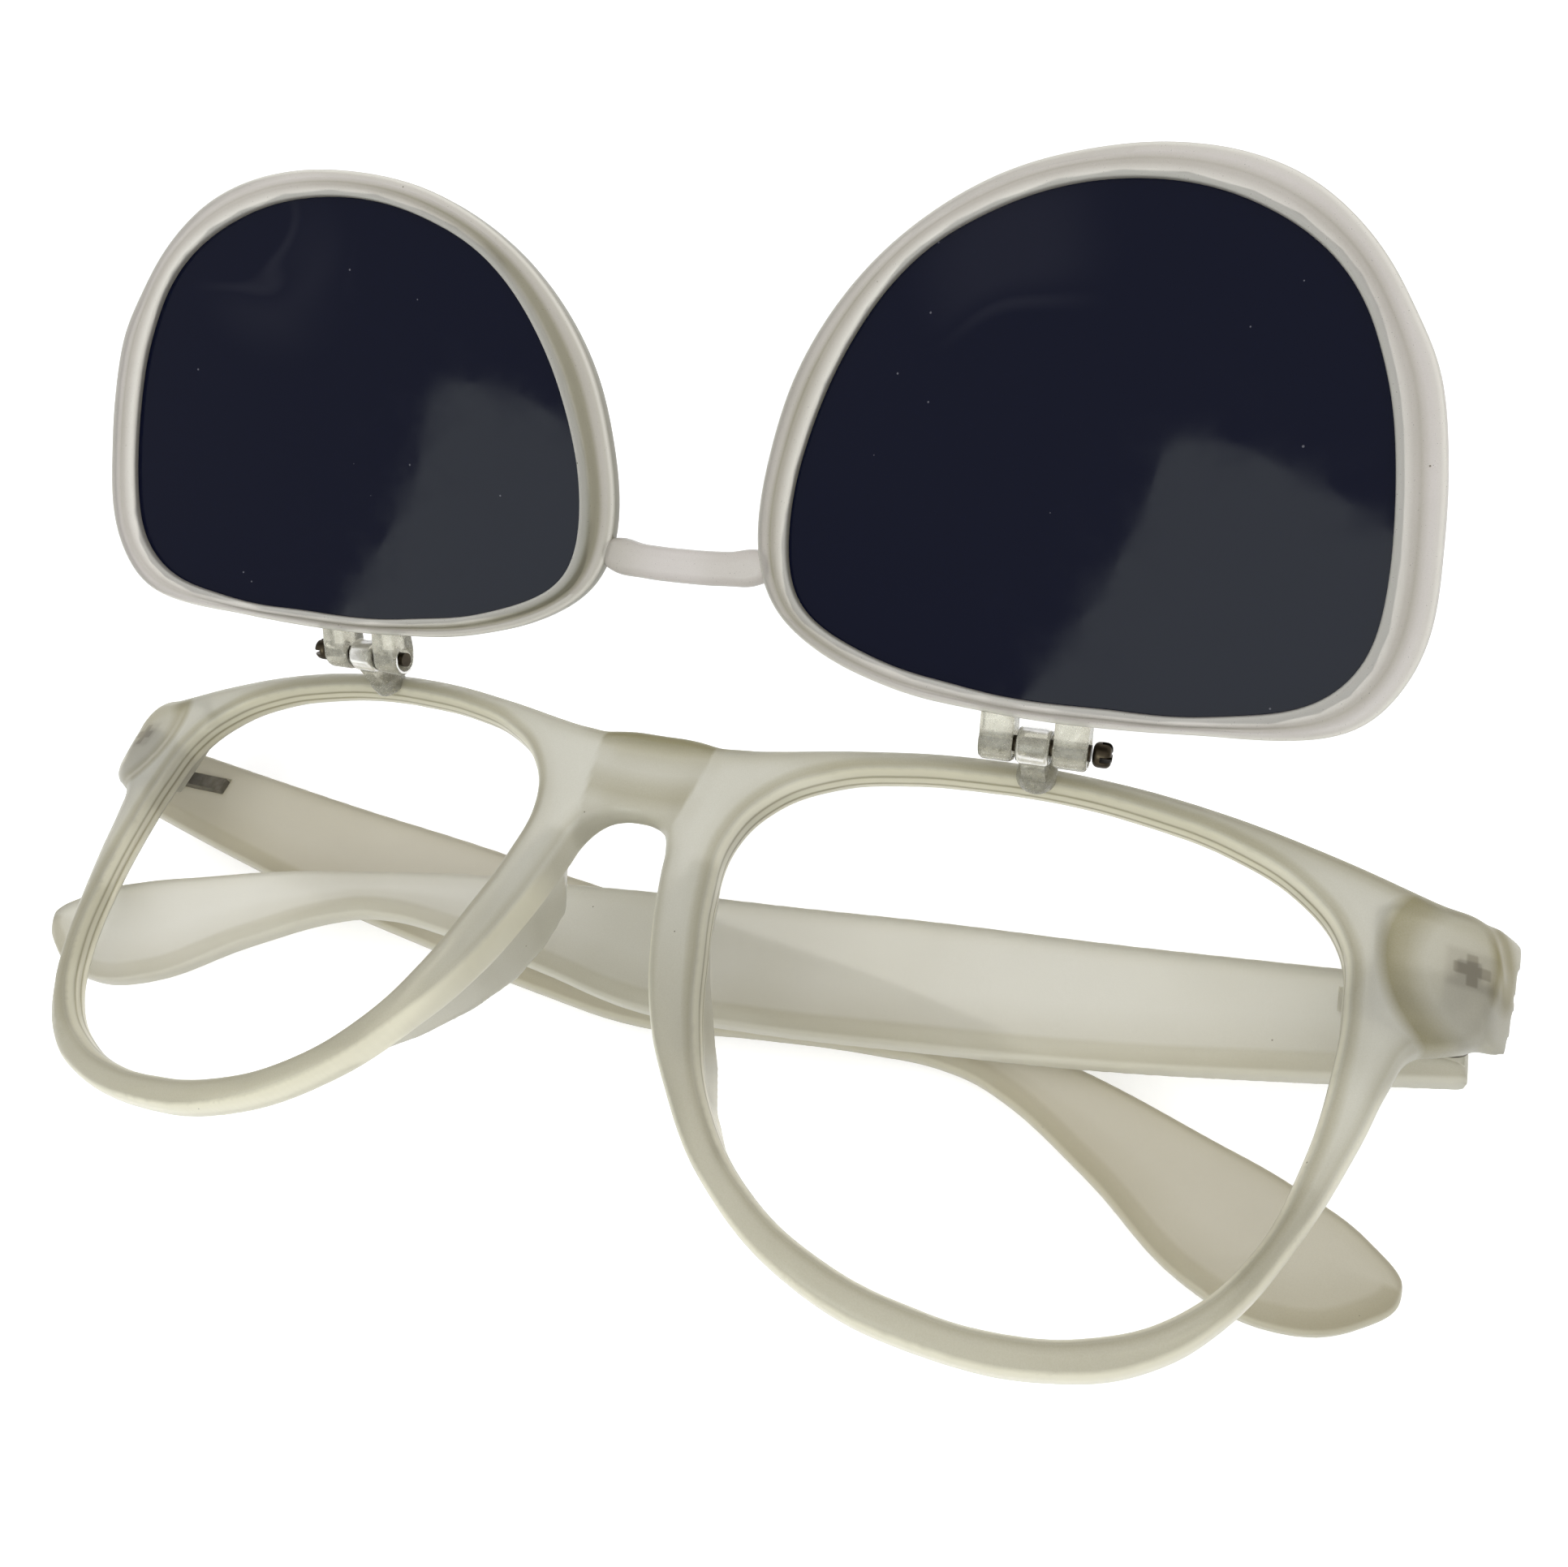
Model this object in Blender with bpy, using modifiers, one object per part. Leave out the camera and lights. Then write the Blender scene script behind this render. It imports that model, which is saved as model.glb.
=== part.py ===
"""Kaleidoscope glasses with a flip-up tinted front, lying on their folded temples.

Metres. X runs to the wearer's left, Y up the face, Z out of the front, away from the wearer.
Heights in Y are measured from a level just above the middle of the lens openings, depths in Z
from the front surface at the middle of the bridge. At the end the whole model is lifted onto Z = 0.
Left and right are the wearer's.
"""

import math

import bmesh
import bpy
from mathutils import Matrix, Vector

MM = 0.001

# Fits
GAP = 0.3 * MM
SEAT_GAP = 0.25 * MM
OVERRUN = 1.0 * MM
WELD = 0.002 * MM

# Main frame
BRIDGE_WIDTH = 19.8 * MM
OPENING_WIDTH = 50.2 * MM
OPENING_HEIGHT = 43.2 * MM
OPENING_DROP = 1.8 * MM
FRONT_RADIUS = 248.0 * MM
FRONT_THICKNESS = 4.1 * MM
FRONT_ROUNDING = 1.0 * MM
SIDE_RIM = 3.5 * MM
BOTTOM_RIM = 2.7 * MM
NASAL_RIM = 5.0 * MM
BEND_SPACING = 12.0 * MM
END_LENGTH = 6.9 * MM
BRIDGE_BELOW_BROW = 4.7 * MM
BRIDGE_CORNER = 6.1 * MM
BRIDGE_CORNER_DROP = 0.4 * MM
BRIDGE_HEIGHT = 8.5 * MM
ARCH_RISE = 5.4 * MM
PAD_DEPTH = 10.5 * MM
PAD_WALL = 1.6 * MM
PAD_ROUNDING = 0.5 * MM

# End pieces
END_DEPTH = 13.6 * MM
END_FLARE = 2.6 * MM
END_HEIGHT = 10.6 * MM
END_BELOW_BROW = 9.4 * MM
END_LEAN = 1.3 * MM
END_INNER_LENGTH = 9.0 * MM
END_FRONT_LENGTH = 2.5 * MM
END_SKIN = 0.6 * MM
END_ROUNDING = 0.8 * MM

# Diffraction lenses
LENS_THICKNESS = 0.9 * MM
LENS_SEAT = 1.0 * MM

# Temples
TEMPLE_LENGTH = 137.9 * MM
TEMPLE_DROP = 21.1 * MM
BUTT_HEIGHT = 8.6 * MM
BUTT_THICKNESS = 3.8 * MM
PADDLE_THICKNESS = 2.5 * MM
TAPER_LENGTH = 100.0 * MM
TEMPLE_ROUNDING = 0.8 * MM
LEFT_FOLD = 91.9
RIGHT_FOLD = 88.4

# Temple hinges
HINGE_BELOW_END = 1.4 * MM
PIN_BEHIND_END = 2.2 * MM
PIN_INSIDE_TEMPLE = 0.75 * MM
PIN_INSIDE_END = 4.45 * MM
PIN_RADIUS = 0.55 * MM
PIN_HEAD_RADIUS = 0.95 * MM
PIN_HEAD_HEIGHT = 0.5 * MM
BARREL_RADIUS = 1.25 * MM
MIDDLE_BARREL_HEIGHT = 1.6 * MM
LOWER_BARREL_HEIGHT = 1.8 * MM
UPPER_BARREL_HEIGHT = 1.2 * MM
WEB_THICKNESS = 1.4 * MM
ANCHOR_DEPTH = 1.8 * MM
ANCHOR_BAR = 1.8 * MM
ANCHOR_HEIGHT = 5.6 * MM
ANCHOR_WIDTH = 3.4 * MM
TEMPLE_PLATE_LENGTH = 8.0 * MM
TEMPLE_PLATE_THICKNESS = 1.0 * MM

# Flip-up front, measured with it closed over the main frame
FLIP_OPEN_ANGLE = 135.0
FLIP_AXIS_BELOW_BROW = 2.1 * MM
FLIP_AXIS_AHEAD = 1.85 * MM
FLIP_AXIS_LIFT = 1.6 * MM
FLIP_INSET = 1.14 * MM
FLIP_EDGE_BELOW_AXIS = 2.602 * MM
FLIP_OPENING_WIDTH = 47.8 * MM
FLIP_OPENING_HEIGHT = 40.2 * MM
FLIP_SIDE_RIM = 3.2 * MM
FLIP_FAR_RIM = 2.2 * MM
FLIP_THICKNESS = 2.5 * MM
FLIP_MIDPLANE = -0.4 * MM
FLIP_ROUNDING = 0.5 * MM
FLIP_CANT = 8.73
TINTED_THICKNESS = 1.0 * MM
TINTED_SEAT = 0.6 * MM

# Bar between the flip rims
BAR_HEIGHT = 3.1 * MM
BAR_THICKNESS = 2.4 * MM
BAR_LET_IN = 1.3 * MM
BAR_ARCH = 0.55 * MM
BAR_LEVEL = 10.1 * MM
BAR_LIFT = 4.08 * MM
BAR_ROUNDING = 0.4 * MM

# Flip hinges
KNUCKLE_RADIUS = 1.6 * MM
KNUCKLE_WIDTH = 2.7 * MM
EAR_WIDTH = 2.8 * MM
EAR_BACK = 2.0 * MM
EAR_FRONT = 0.9 * MM
EAR_ROUNDING = 0.25 * MM
FLIP_SCREW_RADIUS = 0.7 * MM
FLIP_HEAD_RADIUS = 1.07 * MM
FLIP_HEAD_LENGTH = 1.5 * MM
SLOT_WIDTH = 0.4 * MM
SLOT_DEPTH = 0.6 * MM
FOOT_RADIUS = 1.7 * MM
FOOT_THICKNESS = 0.8 * MM

# The flip rim's hinge side: share of its half height
FLIP_HINGE_EDGE_SHARE = 0.886

CURVE_STEPS = 2
ROUND_SIDES = 16
SHARP_ANGLE = 35.0

# Derived sizes
OPENING_HALF = Vector((OPENING_WIDTH, OPENING_HEIGHT)) / 2
RIM_HALF = OPENING_HALF + Vector((SIDE_RIM, BOTTOM_RIM))
CENTRE = Vector((BRIDGE_WIDTH / 2 + OPENING_HALF.x, -OPENING_DROP))
RIM_EDGE = CENTRE.x + RIM_HALF.x
BROW_TOP = CENTRE.y + RIM_HALF.y
BRIDGE_TOP = BROW_TOP - BRIDGE_BELOW_BROW
ARCH_TOP = BRIDGE_TOP - BRIDGE_HEIGHT
END_LEVEL = BROW_TOP - END_BELOW_BROW
HINGE_LEVEL = END_LEVEL - HINGE_BELOW_END
FLIP_AXIS_HEIGHT = BROW_TOP - FLIP_AXIS_BELOW_BROW
FRONT_HALF_WIDTH = RIM_EDGE + END_LENGTH
PIN_X = FRONT_HALF_WIDTH + END_FLARE - PIN_INSIDE_END
PIN_Z = -(END_DEPTH + PIN_BEHIND_END)
PIN_HOLE_RADIUS = PIN_RADIUS + GAP
BUTT_Z = PIN_BEHIND_END - GAP
ANCHOR_FRONT = PIN_Z + PIN_BEHIND_END + ANCHOR_DEPTH + GAP

FLIP_OPENING_HALF = Vector((FLIP_OPENING_WIDTH, FLIP_OPENING_HEIGHT)) / 2
FLIP_RIM_HALF = FLIP_OPENING_HALF + Vector((FLIP_SIDE_RIM, FLIP_FAR_RIM))
FLIP_DROP = FLIP_EDGE_BELOW_AXIS + FLIP_HINGE_EDGE_SHARE * FLIP_RIM_HALF.y
FLIP_CENTRE = Vector((CENTRE.x - FLIP_INSET, -FLIP_DROP, -FLIP_AXIS_LIFT))
FLIP_NOSE_EDGE = FLIP_CENTRE.x - FLIP_RIM_HALF.x * math.cos(math.radians(FLIP_CANT))
BAR_HALF_LENGTH = FLIP_NOSE_EDGE + BAR_LET_IN
KNUCKLE_X = FLIP_CENTRE.x
FLIP_HOLE_RADIUS = FLIP_SCREW_RADIUS + GAP

# Outline of one lens opening about its centre, from the temple side over the top
OPENING_SHARES = (
    (0.98, 0.20), (0.99, 0.43), (0.965, 0.66), (0.84, 0.825), (0.61, 0.94), (0.32, 0.99),
    (0.04, 1.0), (-0.23, 0.975), (-0.485, 0.93), (-0.73, 0.84), (-0.915, 0.68), (-1.0, 0.47),
    (-0.99, 0.22), (-0.94, -0.04), (-0.87, -0.31), (-0.75, -0.58), (-0.55, -0.81), (-0.29, -0.95),
    (-0.02, -1.0), (0.22, -0.99), (0.44, -0.92), (0.64, -0.78), (0.81, -0.53), (0.915, -0.205),
)
# The rim's outer edge about the same centre: the brow, then from the end piece round to the nose
BROW_SHARES = (
    (-0.815, 0.835), (-0.605, 0.889), (-0.238, 0.963), (0.136, 0.988), (0.476, 0.971), (0.815, 0.914),
)
RIM_SHARES = (
    (1.0, 0.152), (0.944, -0.045), (0.815, -0.407), (0.685, -0.667), (0.528, -0.848),
    (0.339, -0.951), (0.035, -1.0), (-0.308, -0.942), (-0.612, -0.737), (-0.804, -0.481),
    (-0.918, -0.267), (-1.003, -0.004), (-1.052, 0.235),
)
# The end piece's edge: share of its length past the rim, share of the rim's half height
END_SHARES = (
    (0.36, 0.848), (0.855, 0.82), (1.0, 0.74), (0.965, 0.514), (0.81, 0.395), (0.507, 0.337),
    (0.217, 0.292),
)
# The nose arch: share of its half width, share of its rise below the top
ARCH_SHARES = ((0.9, 0.556), (0.63, 0.167), (0.36, 0.037))
# Nose pad sections from top to bottom: height in half openings, then front, back and lens side
# in half bridge widths, then depth in pad depths
PAD_SHARES = (
    (0.431, 0.475, 0.81, 0.94, 0.42),
    (0.315, 0.545, 0.75, 0.96, 0.74),
    (0.176, 0.606, 0.69, 0.99, 0.90),
    (0.014, 0.697, 0.78, 1.06, 0.97),
    (-0.148, 0.818, 0.93, 1.16, 1.0),
    (-0.333, 1.0, 1.17, 1.29, 0.93),
    (-0.519, 1.27, 1.42, 1.485, 0.75),
    (-0.70, 1.59, 1.73, 1.85, 0.52),
)
# Temple stations: share of the length, of the drop and of the butt's half height
TEMPLE_SHARES = (
    (0.0, 0.0, 1.0), (0.106, 0.114, 1.175), (0.212, 0.218, 1.32), (0.317, 0.299, 1.415),
    (0.423, 0.382, 1.45), (0.508, 0.429, 1.40), (0.592, 0.427, 1.055), (0.67, 0.431, 0.767),
    (0.726, 0.462, 0.588), (0.758, 0.51, 0.61), (0.822, 0.675, 0.97), (0.888, 0.891, 1.39),
    (0.938, 0.979, 1.307), (0.983, 1.0, 0.695),
)
# Flip rim and its opening about their centre, hinge side up
FLIP_RIM_SHARES = (
    (0.21, -1.0), (0.39, -0.956), (0.556, -0.865), (0.68, -0.742), (0.767, -0.62), (0.839, -0.48),
    (0.903, -0.349), (0.96, -0.087), (0.989, 0.2), (1.0, 0.393), (0.989, 0.524), (0.943, 0.668),
    (0.86, 0.786), (0.735, 0.825), (0.473, 0.856), (0.165, 0.886), (-0.161, 0.886), (-0.484, 0.847),
    (-0.735, 0.751), (-0.907, 0.611), (-0.982, 0.415), (-0.989, 0.218), (-0.96, 0.0),
    (-0.896, -0.262), (-0.789, -0.489), (-0.663, -0.664), (-0.48, -0.83), (-0.287, -0.939),
    (-0.029, -1.0),
)
FLIP_OPENING_SHARES = (
    (0.963, -0.063), (0.923, -0.271), (0.874, -0.425), (0.829, -0.541), (0.715, -0.715),
    (0.459, -0.908), (0.077, -1.0), (-0.305, -0.923), (-0.549, -0.778), (-0.646, -0.676),
    (-0.801, -0.425), (-0.919, -0.106), (-0.984, 0.251), (-0.972, 0.512), (-0.919, 0.647),
    (-0.821, 0.729), (-0.614, 0.821), (-0.252, 0.894), (0.199, 0.903), (0.602, 0.865),
    (0.858, 0.783), (0.976, 0.618), (1.0, 0.343), (0.988, 0.145),
)
# Half of the bar's outline: share of its half length, share of its arch, share of its half height
BAR_SHARES = ((0.0, 1.0, 1.0), (0.5, 0.8, 1.0), (0.9, 0.1, 0.95), (1.0, 0.0, 0.5))


def new_collection(name):
    made = bpy.data.collections.new(name)
    bpy.context.scene.collection.children.link(made)
    return made


def add_object(name, mesh, group):
    made = bpy.data.objects.new(name, mesh)
    group.objects.link(made)
    return made


def evaluated_mesh(obj):
    bpy.context.view_layer.update()
    graph = bpy.context.evaluated_depsgraph_get()
    return bpy.data.meshes.new_from_object(obj.evaluated_get(graph))


def weld(mesh):
    """Join the loose caps to their walls and turn every face outwards."""
    work = bmesh.new()
    work.from_mesh(mesh)
    bmesh.ops.remove_doubles(work, verts=work.verts, dist=WELD)
    bmesh.ops.recalc_face_normals(work, faces=work.faces)
    work.to_mesh(mesh)
    work.free()
    return mesh


def outline_solid(loops, thickness, rounding=0.0, round_steps=0):
    """A flat plate about Z = 0. The first loop of (x, y, corner) is its edge, the others are holes."""
    data = bpy.data.curves.new("outline", "CURVE")
    data.dimensions = "2D"
    data.fill_mode = "BOTH"
    data.resolution_u = CURVE_STEPS
    data.extrude = thickness / 2 - rounding
    data.bevel_depth = rounding
    data.bevel_resolution = round_steps
    data.offset = -rounding
    for loop in loops:
        spline = data.splines.new("BEZIER")
        spline.bezier_points.add(len(loop) - 1)
        spline.use_cyclic_u = True
        for point, (x, y, corner) in zip(spline.bezier_points, loop):
            point.co = (x, y, 0)
            point.handle_left_type = point.handle_right_type = "VECTOR" if corner else "AUTO"
    curve = add_object("outline", data, PARTS)
    mesh = evaluated_mesh(curve)
    bpy.data.objects.remove(curve)
    bpy.data.curves.remove(data)
    return weld(mesh)


def smooth_loop(shares, half, centre=(0, 0)):
    return [(centre[0] + x * half[0], centre[1] + y * half[1], False) for x, y in shares]


def circle_loop(radius, x=0.0, y=0.0):
    turns = [math.tau * i / 8 for i in range(8)]
    return [(x + radius * math.cos(t), y + radius * math.sin(t), False) for t in turns]


def box(low, high):
    """A box between two corners."""
    work = bmesh.new()
    bmesh.ops.create_cube(work, size=1)
    mesh = bpy.data.meshes.new("box")
    work.to_mesh(mesh)
    work.free()
    low, high = Vector(low), Vector(high)
    size = Matrix.Diagonal((high - low).to_4d())
    size[3][3] = 1
    mesh.transform(Matrix.Translation((low + high) / 2) @ size)
    return mesh


def rod(radius, start, end):
    """A round bar between two points."""
    start, end = Vector(start), Vector(end)
    work = bmesh.new()
    bmesh.ops.create_cone(
        work, cap_ends=True, segments=ROUND_SIDES, radius1=radius, radius2=radius, depth=(end - start).length
    )
    mesh = bpy.data.meshes.new("rod")
    work.to_mesh(mesh)
    work.free()
    turn = Vector((0, 0, 1)).rotation_difference(end - start).to_matrix().to_4x4()
    mesh.transform(Matrix.Translation((start + end) / 2) @ turn)
    return mesh


def combine(name, mesh, joined=(), cut=()):
    """The mesh with some solids joined to it and others cut out of it."""
    base = add_object(name + "_blank", mesh, CUTTERS)
    for operation, tools in (("UNION", joined), ("DIFFERENCE", cut)):
        for tool in tools:
            helper = add_object(f"{name}_{operation.lower()}", tool, CUTTERS)
            helper.hide_render = True
            helper.display_type = "WIRE"
            modifier = base.modifiers.new(operation.lower(), "BOOLEAN")
            modifier.operation = operation
            modifier.object = helper
    base.hide_render = True
    base.display_type = "WIRE"
    return evaluated_mesh(base)


def mirrored(mesh):
    other = mesh.copy()
    other.transform(Matrix.Scale(-1, 4, (1, 0, 0)))
    other.flip_normals()
    return other


def finish(name, mesh, material, parent):
    mesh.name = name
    mesh.materials.clear()
    mesh.materials.append(material)
    mesh.shade_smooth()
    mesh.set_sharp_from_angle(angle=math.radians(SHARP_ANGLE))
    made = add_object(name, mesh, PARTS)
    made.parent = parent
    return made


def finish_pair(name, mesh, material, parents):
    """The wearer's left piece as given, and its mirror image as the right one."""
    finish("left_" + name, mesh, material, parents[0])
    finish("right_" + name, mirrored(mesh), material, parents[1])


def make_material(name, colour, roughness, metallic=0.0, transmission=0.0):
    made = bpy.data.materials.new(name)
    made.use_nodes = True
    made.diffuse_color = (*colour, 1)
    shader = made.node_tree.nodes["Principled BSDF"]
    shader.inputs["Base Color"].default_value = (*colour, 1)
    shader.inputs["Roughness"].default_value = roughness
    shader.inputs["Metallic"].default_value = metallic
    shader.inputs["Transmission Weight"].default_value = transmission
    return made


def sag(x):
    """How far the curved front lies behind its middle."""
    return x * x / (2 * FRONT_RADIUS)


def bend_to_front(mesh):
    """Slice the flat plate into strips and drop each point onto the curved front."""
    work = bmesh.new()
    work.from_mesh(mesh)
    reach = max(vert.co.x for vert in work.verts)
    strips = math.ceil(reach / BEND_SPACING)
    for i in range(1 - strips, strips):
        everything = work.verts[:] + work.edges[:] + work.faces[:]
        bmesh.ops.bisect_plane(
            work, geom=everything, dist=WELD, plane_co=(i * BEND_SPACING, 0, 0), plane_no=(1, 0, 0)
        )
    for vert in work.verts:
        vert.co.z -= sag(vert.co.x)
    work.to_mesh(mesh)
    work.free()
    return mesh


def in_front_plate(mesh):
    """Bend a flat piece and centre it in the thickness of the front."""
    bend_to_front(mesh)
    mesh.transform(Matrix.Translation((0, 0, -FRONT_THICKNESS / 2)))
    return mesh


def lens_plate(margin, thickness):
    half = OPENING_HALF + Vector((margin, margin))
    return in_front_plate(outline_solid([smooth_loop(OPENING_SHARES, half, CENTRE)], thickness))


def other_side(loop):
    """The mirror image of an outline across the middle, left out where it lies on the middle."""
    return [(-x, y, corner) for x, y, corner in loop[::-1] if x > 0]


def front_plate():
    """The bent plate of the front with its two openings."""
    arch_half = BRIDGE_WIDTH / 2 - NASAL_RIM
    arch = [(x * arch_half, ARCH_TOP - y * ARCH_RISE, False) for x, y in ARCH_SHARES]
    ends = [(RIM_EDGE + x * END_LENGTH, CENTRE.y + y * RIM_HALF.y, False) for x, y in END_SHARES]
    edge = [(0, BRIDGE_TOP, False), (BRIDGE_CORNER / 2, BRIDGE_TOP, False)]
    edge.append((BRIDGE_CORNER, BRIDGE_TOP - BRIDGE_CORNER_DROP, True))
    edge += smooth_loop(BROW_SHARES, RIM_HALF, CENTRE) + ends
    edge += smooth_loop(RIM_SHARES, RIM_HALF, CENTRE) + arch
    edge.append((0, ARCH_TOP, False))
    edge += other_side(edge)
    opening = smooth_loop(OPENING_SHARES, OPENING_HALF, CENTRE)
    loops = [edge, opening, other_side(opening)]
    return in_front_plate(outline_solid(loops, FRONT_THICKNESS, FRONT_ROUNDING, 1))


def nose_pad():
    """A wedge that swells backwards from the rim's nose side, lofted through its sections."""
    work = bmesh.new()
    rings = []
    for height, front, back, lens_side, depth in PAD_SHARES:
        y = CENTRE.y + height * OPENING_HALF.y
        xs = [share * BRIDGE_WIDTH / 2 for share in (front, back, lens_side)]
        tip = -depth * PAD_DEPTH
        ring = [
            (xs[0], y, -sag(xs[0]) - FRONT_ROUNDING),
            (xs[1], y, tip),
            (xs[1] + PAD_WALL * depth * depth, y, tip),
            (xs[2], y, -sag(xs[2]) - FRONT_THICKNESS + FRONT_ROUNDING),
        ]
        rings.append([work.verts.new(corner) for corner in ring])
    for upper, lower in zip(rings, rings[1:]):
        for i in range(len(upper)):
            j = (i + 1) % len(upper)
            work.faces.new((upper[i], upper[j], lower[j], lower[i]))
    work.faces.new(rings[0][::-1])
    work.faces.new(rings[-1])
    bmesh.ops.recalc_face_normals(work, faces=work.faces)
    mesh = bpy.data.meshes.new("nose_pad")
    work.to_mesh(mesh)
    work.free()
    helper = add_object("nose_pad_loft", mesh, CUTTERS)
    helper.hide_render = True
    helper.display_type = "WIRE"
    rounding = helper.modifiers.new("rounding", "BEVEL")
    rounding.width = PAD_ROUNDING
    rounding.segments = 1
    return evaluated_mesh(helper)


def end_block():
    """The thick end of the front: a flat back for the temple and a side that flares out to it."""
    outer = FRONT_HALF_WIDTH
    inner = outer - END_INNER_LENGTH
    front = outer - END_FRONT_LENGTH
    plan = [
        (inner, -END_DEPTH, True),
        (inner - END_SKIN, -sag(inner) - FRONT_THICKNESS + FRONT_ROUNDING, True),
        (front, -sag(front) - END_SKIN, True),
        (outer, -sag(outer) - END_SKIN, True),
        (outer + END_FLARE, -END_DEPTH, True),
    ]
    mesh = outline_solid([plan], END_HEIGHT, END_ROUNDING)
    for vert in mesh.vertices:
        below = vert.co.z / END_HEIGHT + 1 / 2
        vert.co.x -= END_LEAN * below * max(vert.co.x - front, 0) / (outer + END_FLARE - front)
    level = Matrix.Translation((0, END_LEVEL, 0))
    mesh.transform(level @ Matrix.Rotation(math.radians(90), 4, "X"))
    return mesh


def hinge_pocket():
    """The hole in the end piece's back that takes the hinge leaf's cross-shaped anchor."""
    half_width = ANCHOR_WIDTH / 2 + GAP
    half_height = ANCHOR_HEIGHT / 2 + GAP
    return box(
        (PIN_X - half_width, HINGE_LEVEL - half_height, -END_DEPTH - OVERRUN),
        (PIN_X + half_width, HINGE_LEVEL + half_height, ANCHOR_FRONT + GAP),
    )


def make_main_frame(material, parent):
    groove = lens_plate(LENS_SEAT + SEAT_GAP, LENS_THICKNESS + 2 * SEAT_GAP)
    joined, cut = [], []
    for tool in (nose_pad(), end_block()):
        joined += [tool, mirrored(tool)]
    for tool in (groove, hinge_pocket()):
        cut += [tool, mirrored(tool)]
    finish("main_frame", combine("main_frame", front_plate(), joined, cut), material, parent)


def make_diffraction_lenses(material, parent):
    finish_pair("diffraction_lens", lens_plate(LENS_SEAT, LENS_THICKNESS), material, (parent, parent))


def temple_blank():
    """A temple laid open about its pin: length along -Z, thickness along X, a straight inner face."""
    upper, lower = [], []
    for length, drop, height in TEMPLE_SHARES:
        half = height * BUTT_HEIGHT / 2
        middle = -drop * TEMPLE_DROP
        corner = length == 0
        upper.append((length * TEMPLE_LENGTH, middle + half, corner))
        lower.append((length * TEMPLE_LENGTH, middle - half, corner))
    tip = [(TEMPLE_LENGTH, -TEMPLE_DROP, False)]
    mesh = outline_solid([upper + tip + lower[::-1]], BUTT_THICKNESS, TEMPLE_ROUNDING, 1)
    for vert in mesh.vertices:
        taper = min(vert.co.x / TAPER_LENGTH, 1)
        thin = 1 + taper * (PADDLE_THICKNESS / BUTT_THICKNESS - 1)
        vert.co.z = PIN_INSIDE_TEMPLE + (vert.co.z + BUTT_THICKNESS / 2) * thin
    mesh.transform(Matrix.Translation((0, 0, BUTT_Z)) @ Matrix.Rotation(math.radians(90), 4, "Y"))
    return mesh


def barrel_levels():
    """Bottom and top of the lower, middle and upper barrel, about the hinge's level."""
    middle = MIDDLE_BARREL_HEIGHT / 2
    low = (-middle - GAP - LOWER_BARREL_HEIGHT, -middle - GAP)
    high = (middle + GAP, middle + GAP + UPPER_BARREL_HEIGHT)
    return low, (-middle, middle), high


def hinge_recess():
    """The two steps cut into the temple's inner face for the barrels and for the leaf's plate."""
    low, middle, high = barrel_levels()
    wall = BARREL_RADIUS + GAP
    top = high[1] + PIN_HEAD_HEIGHT + 2 * GAP
    barrels = box((0, low[0] - GAP, -wall), (wall, top, BUTT_Z + OVERRUN))
    plate_half = middle[1] + GAP
    plate = box((0, -plate_half, -TEMPLE_PLATE_LENGTH - GAP), (wall, plate_half, 0))
    return barrels, plate


def make_temples(material, parents):
    mesh = combine("temple", temple_blank(), cut=hinge_recess())
    finish_pair("temple", mesh, material, parents)


def temple_leaf():
    """The leaf in the temple: the middle barrel and a plate along the inner face."""
    low, high = barrel_levels()[1]
    outside = BARREL_RADIUS
    barrel = rod(BARREL_RADIUS, (0, low, 0), (0, high, 0))
    plate = box((outside - TEMPLE_PLATE_THICKNESS, low, -TEMPLE_PLATE_LENGTH), (outside, high, 0))
    hole = rod(PIN_HOLE_RADIUS, (0, low - OVERRUN, 0), (0, high + OVERRUN, 0))
    return combine("temple_leaf", barrel, joined=(plate,), cut=(hole,))


def frame_leaf():
    """The leaf in the end piece: a cross-shaped anchor, two webs and two barrels about the pin."""
    low, _, high = barrel_levels()
    front = ANCHOR_FRONT - PIN_Z
    back = front - ANCHOR_DEPTH
    bar = ANCHOR_BAR / 2
    upright = box((-bar, -ANCHOR_HEIGHT / 2, back), (bar, ANCHOR_HEIGHT / 2, front))
    crossbar = box((-ANCHOR_WIDTH / 2, -bar, back), (ANCHOR_WIDTH / 2, bar, front))
    pieces = [crossbar]
    for bottom, top in (low, high):
        pieces.append(box((-WEB_THICKNESS / 2, bottom, 0), (WEB_THICKNESS / 2, top, back + GAP)))
        pieces.append(rod(BARREL_RADIUS, (0, bottom, 0), (0, top, 0)))
    hole = rod(PIN_HOLE_RADIUS, (0, low[0] - OVERRUN, 0), (0, high[1] + OVERRUN, 0))
    mesh = combine("frame_leaf", upright, joined=pieces, cut=(hole,))
    mesh.transform(Matrix.Translation((PIN_X, HINGE_LEVEL, PIN_Z)))
    return mesh


def temple_screw():
    low, _, high = barrel_levels()
    shaft = rod(PIN_RADIUS, (0, low[0], 0), (0, high[1] + GAP + PIN_HEAD_HEIGHT / 2, 0))
    head_base = high[1] + GAP
    head = rod(PIN_HEAD_RADIUS, (0, head_base, 0), (0, head_base + PIN_HEAD_HEIGHT, 0))
    mesh = combine("temple_screw", shaft, joined=(head,))
    mesh.transform(Matrix.Translation((PIN_X, HINGE_LEVEL, PIN_Z)))
    return mesh


def cant(mesh):
    """Turn a flat flip piece to follow the front's curve and set it at its lens centre."""
    turn = Matrix.Rotation(math.radians(FLIP_CANT), 4, "Y")
    mesh.transform(Matrix.Translation(FLIP_CENTRE) @ turn @ Matrix.Translation((0, 0, FLIP_MIDPLANE)))
    return mesh


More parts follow.
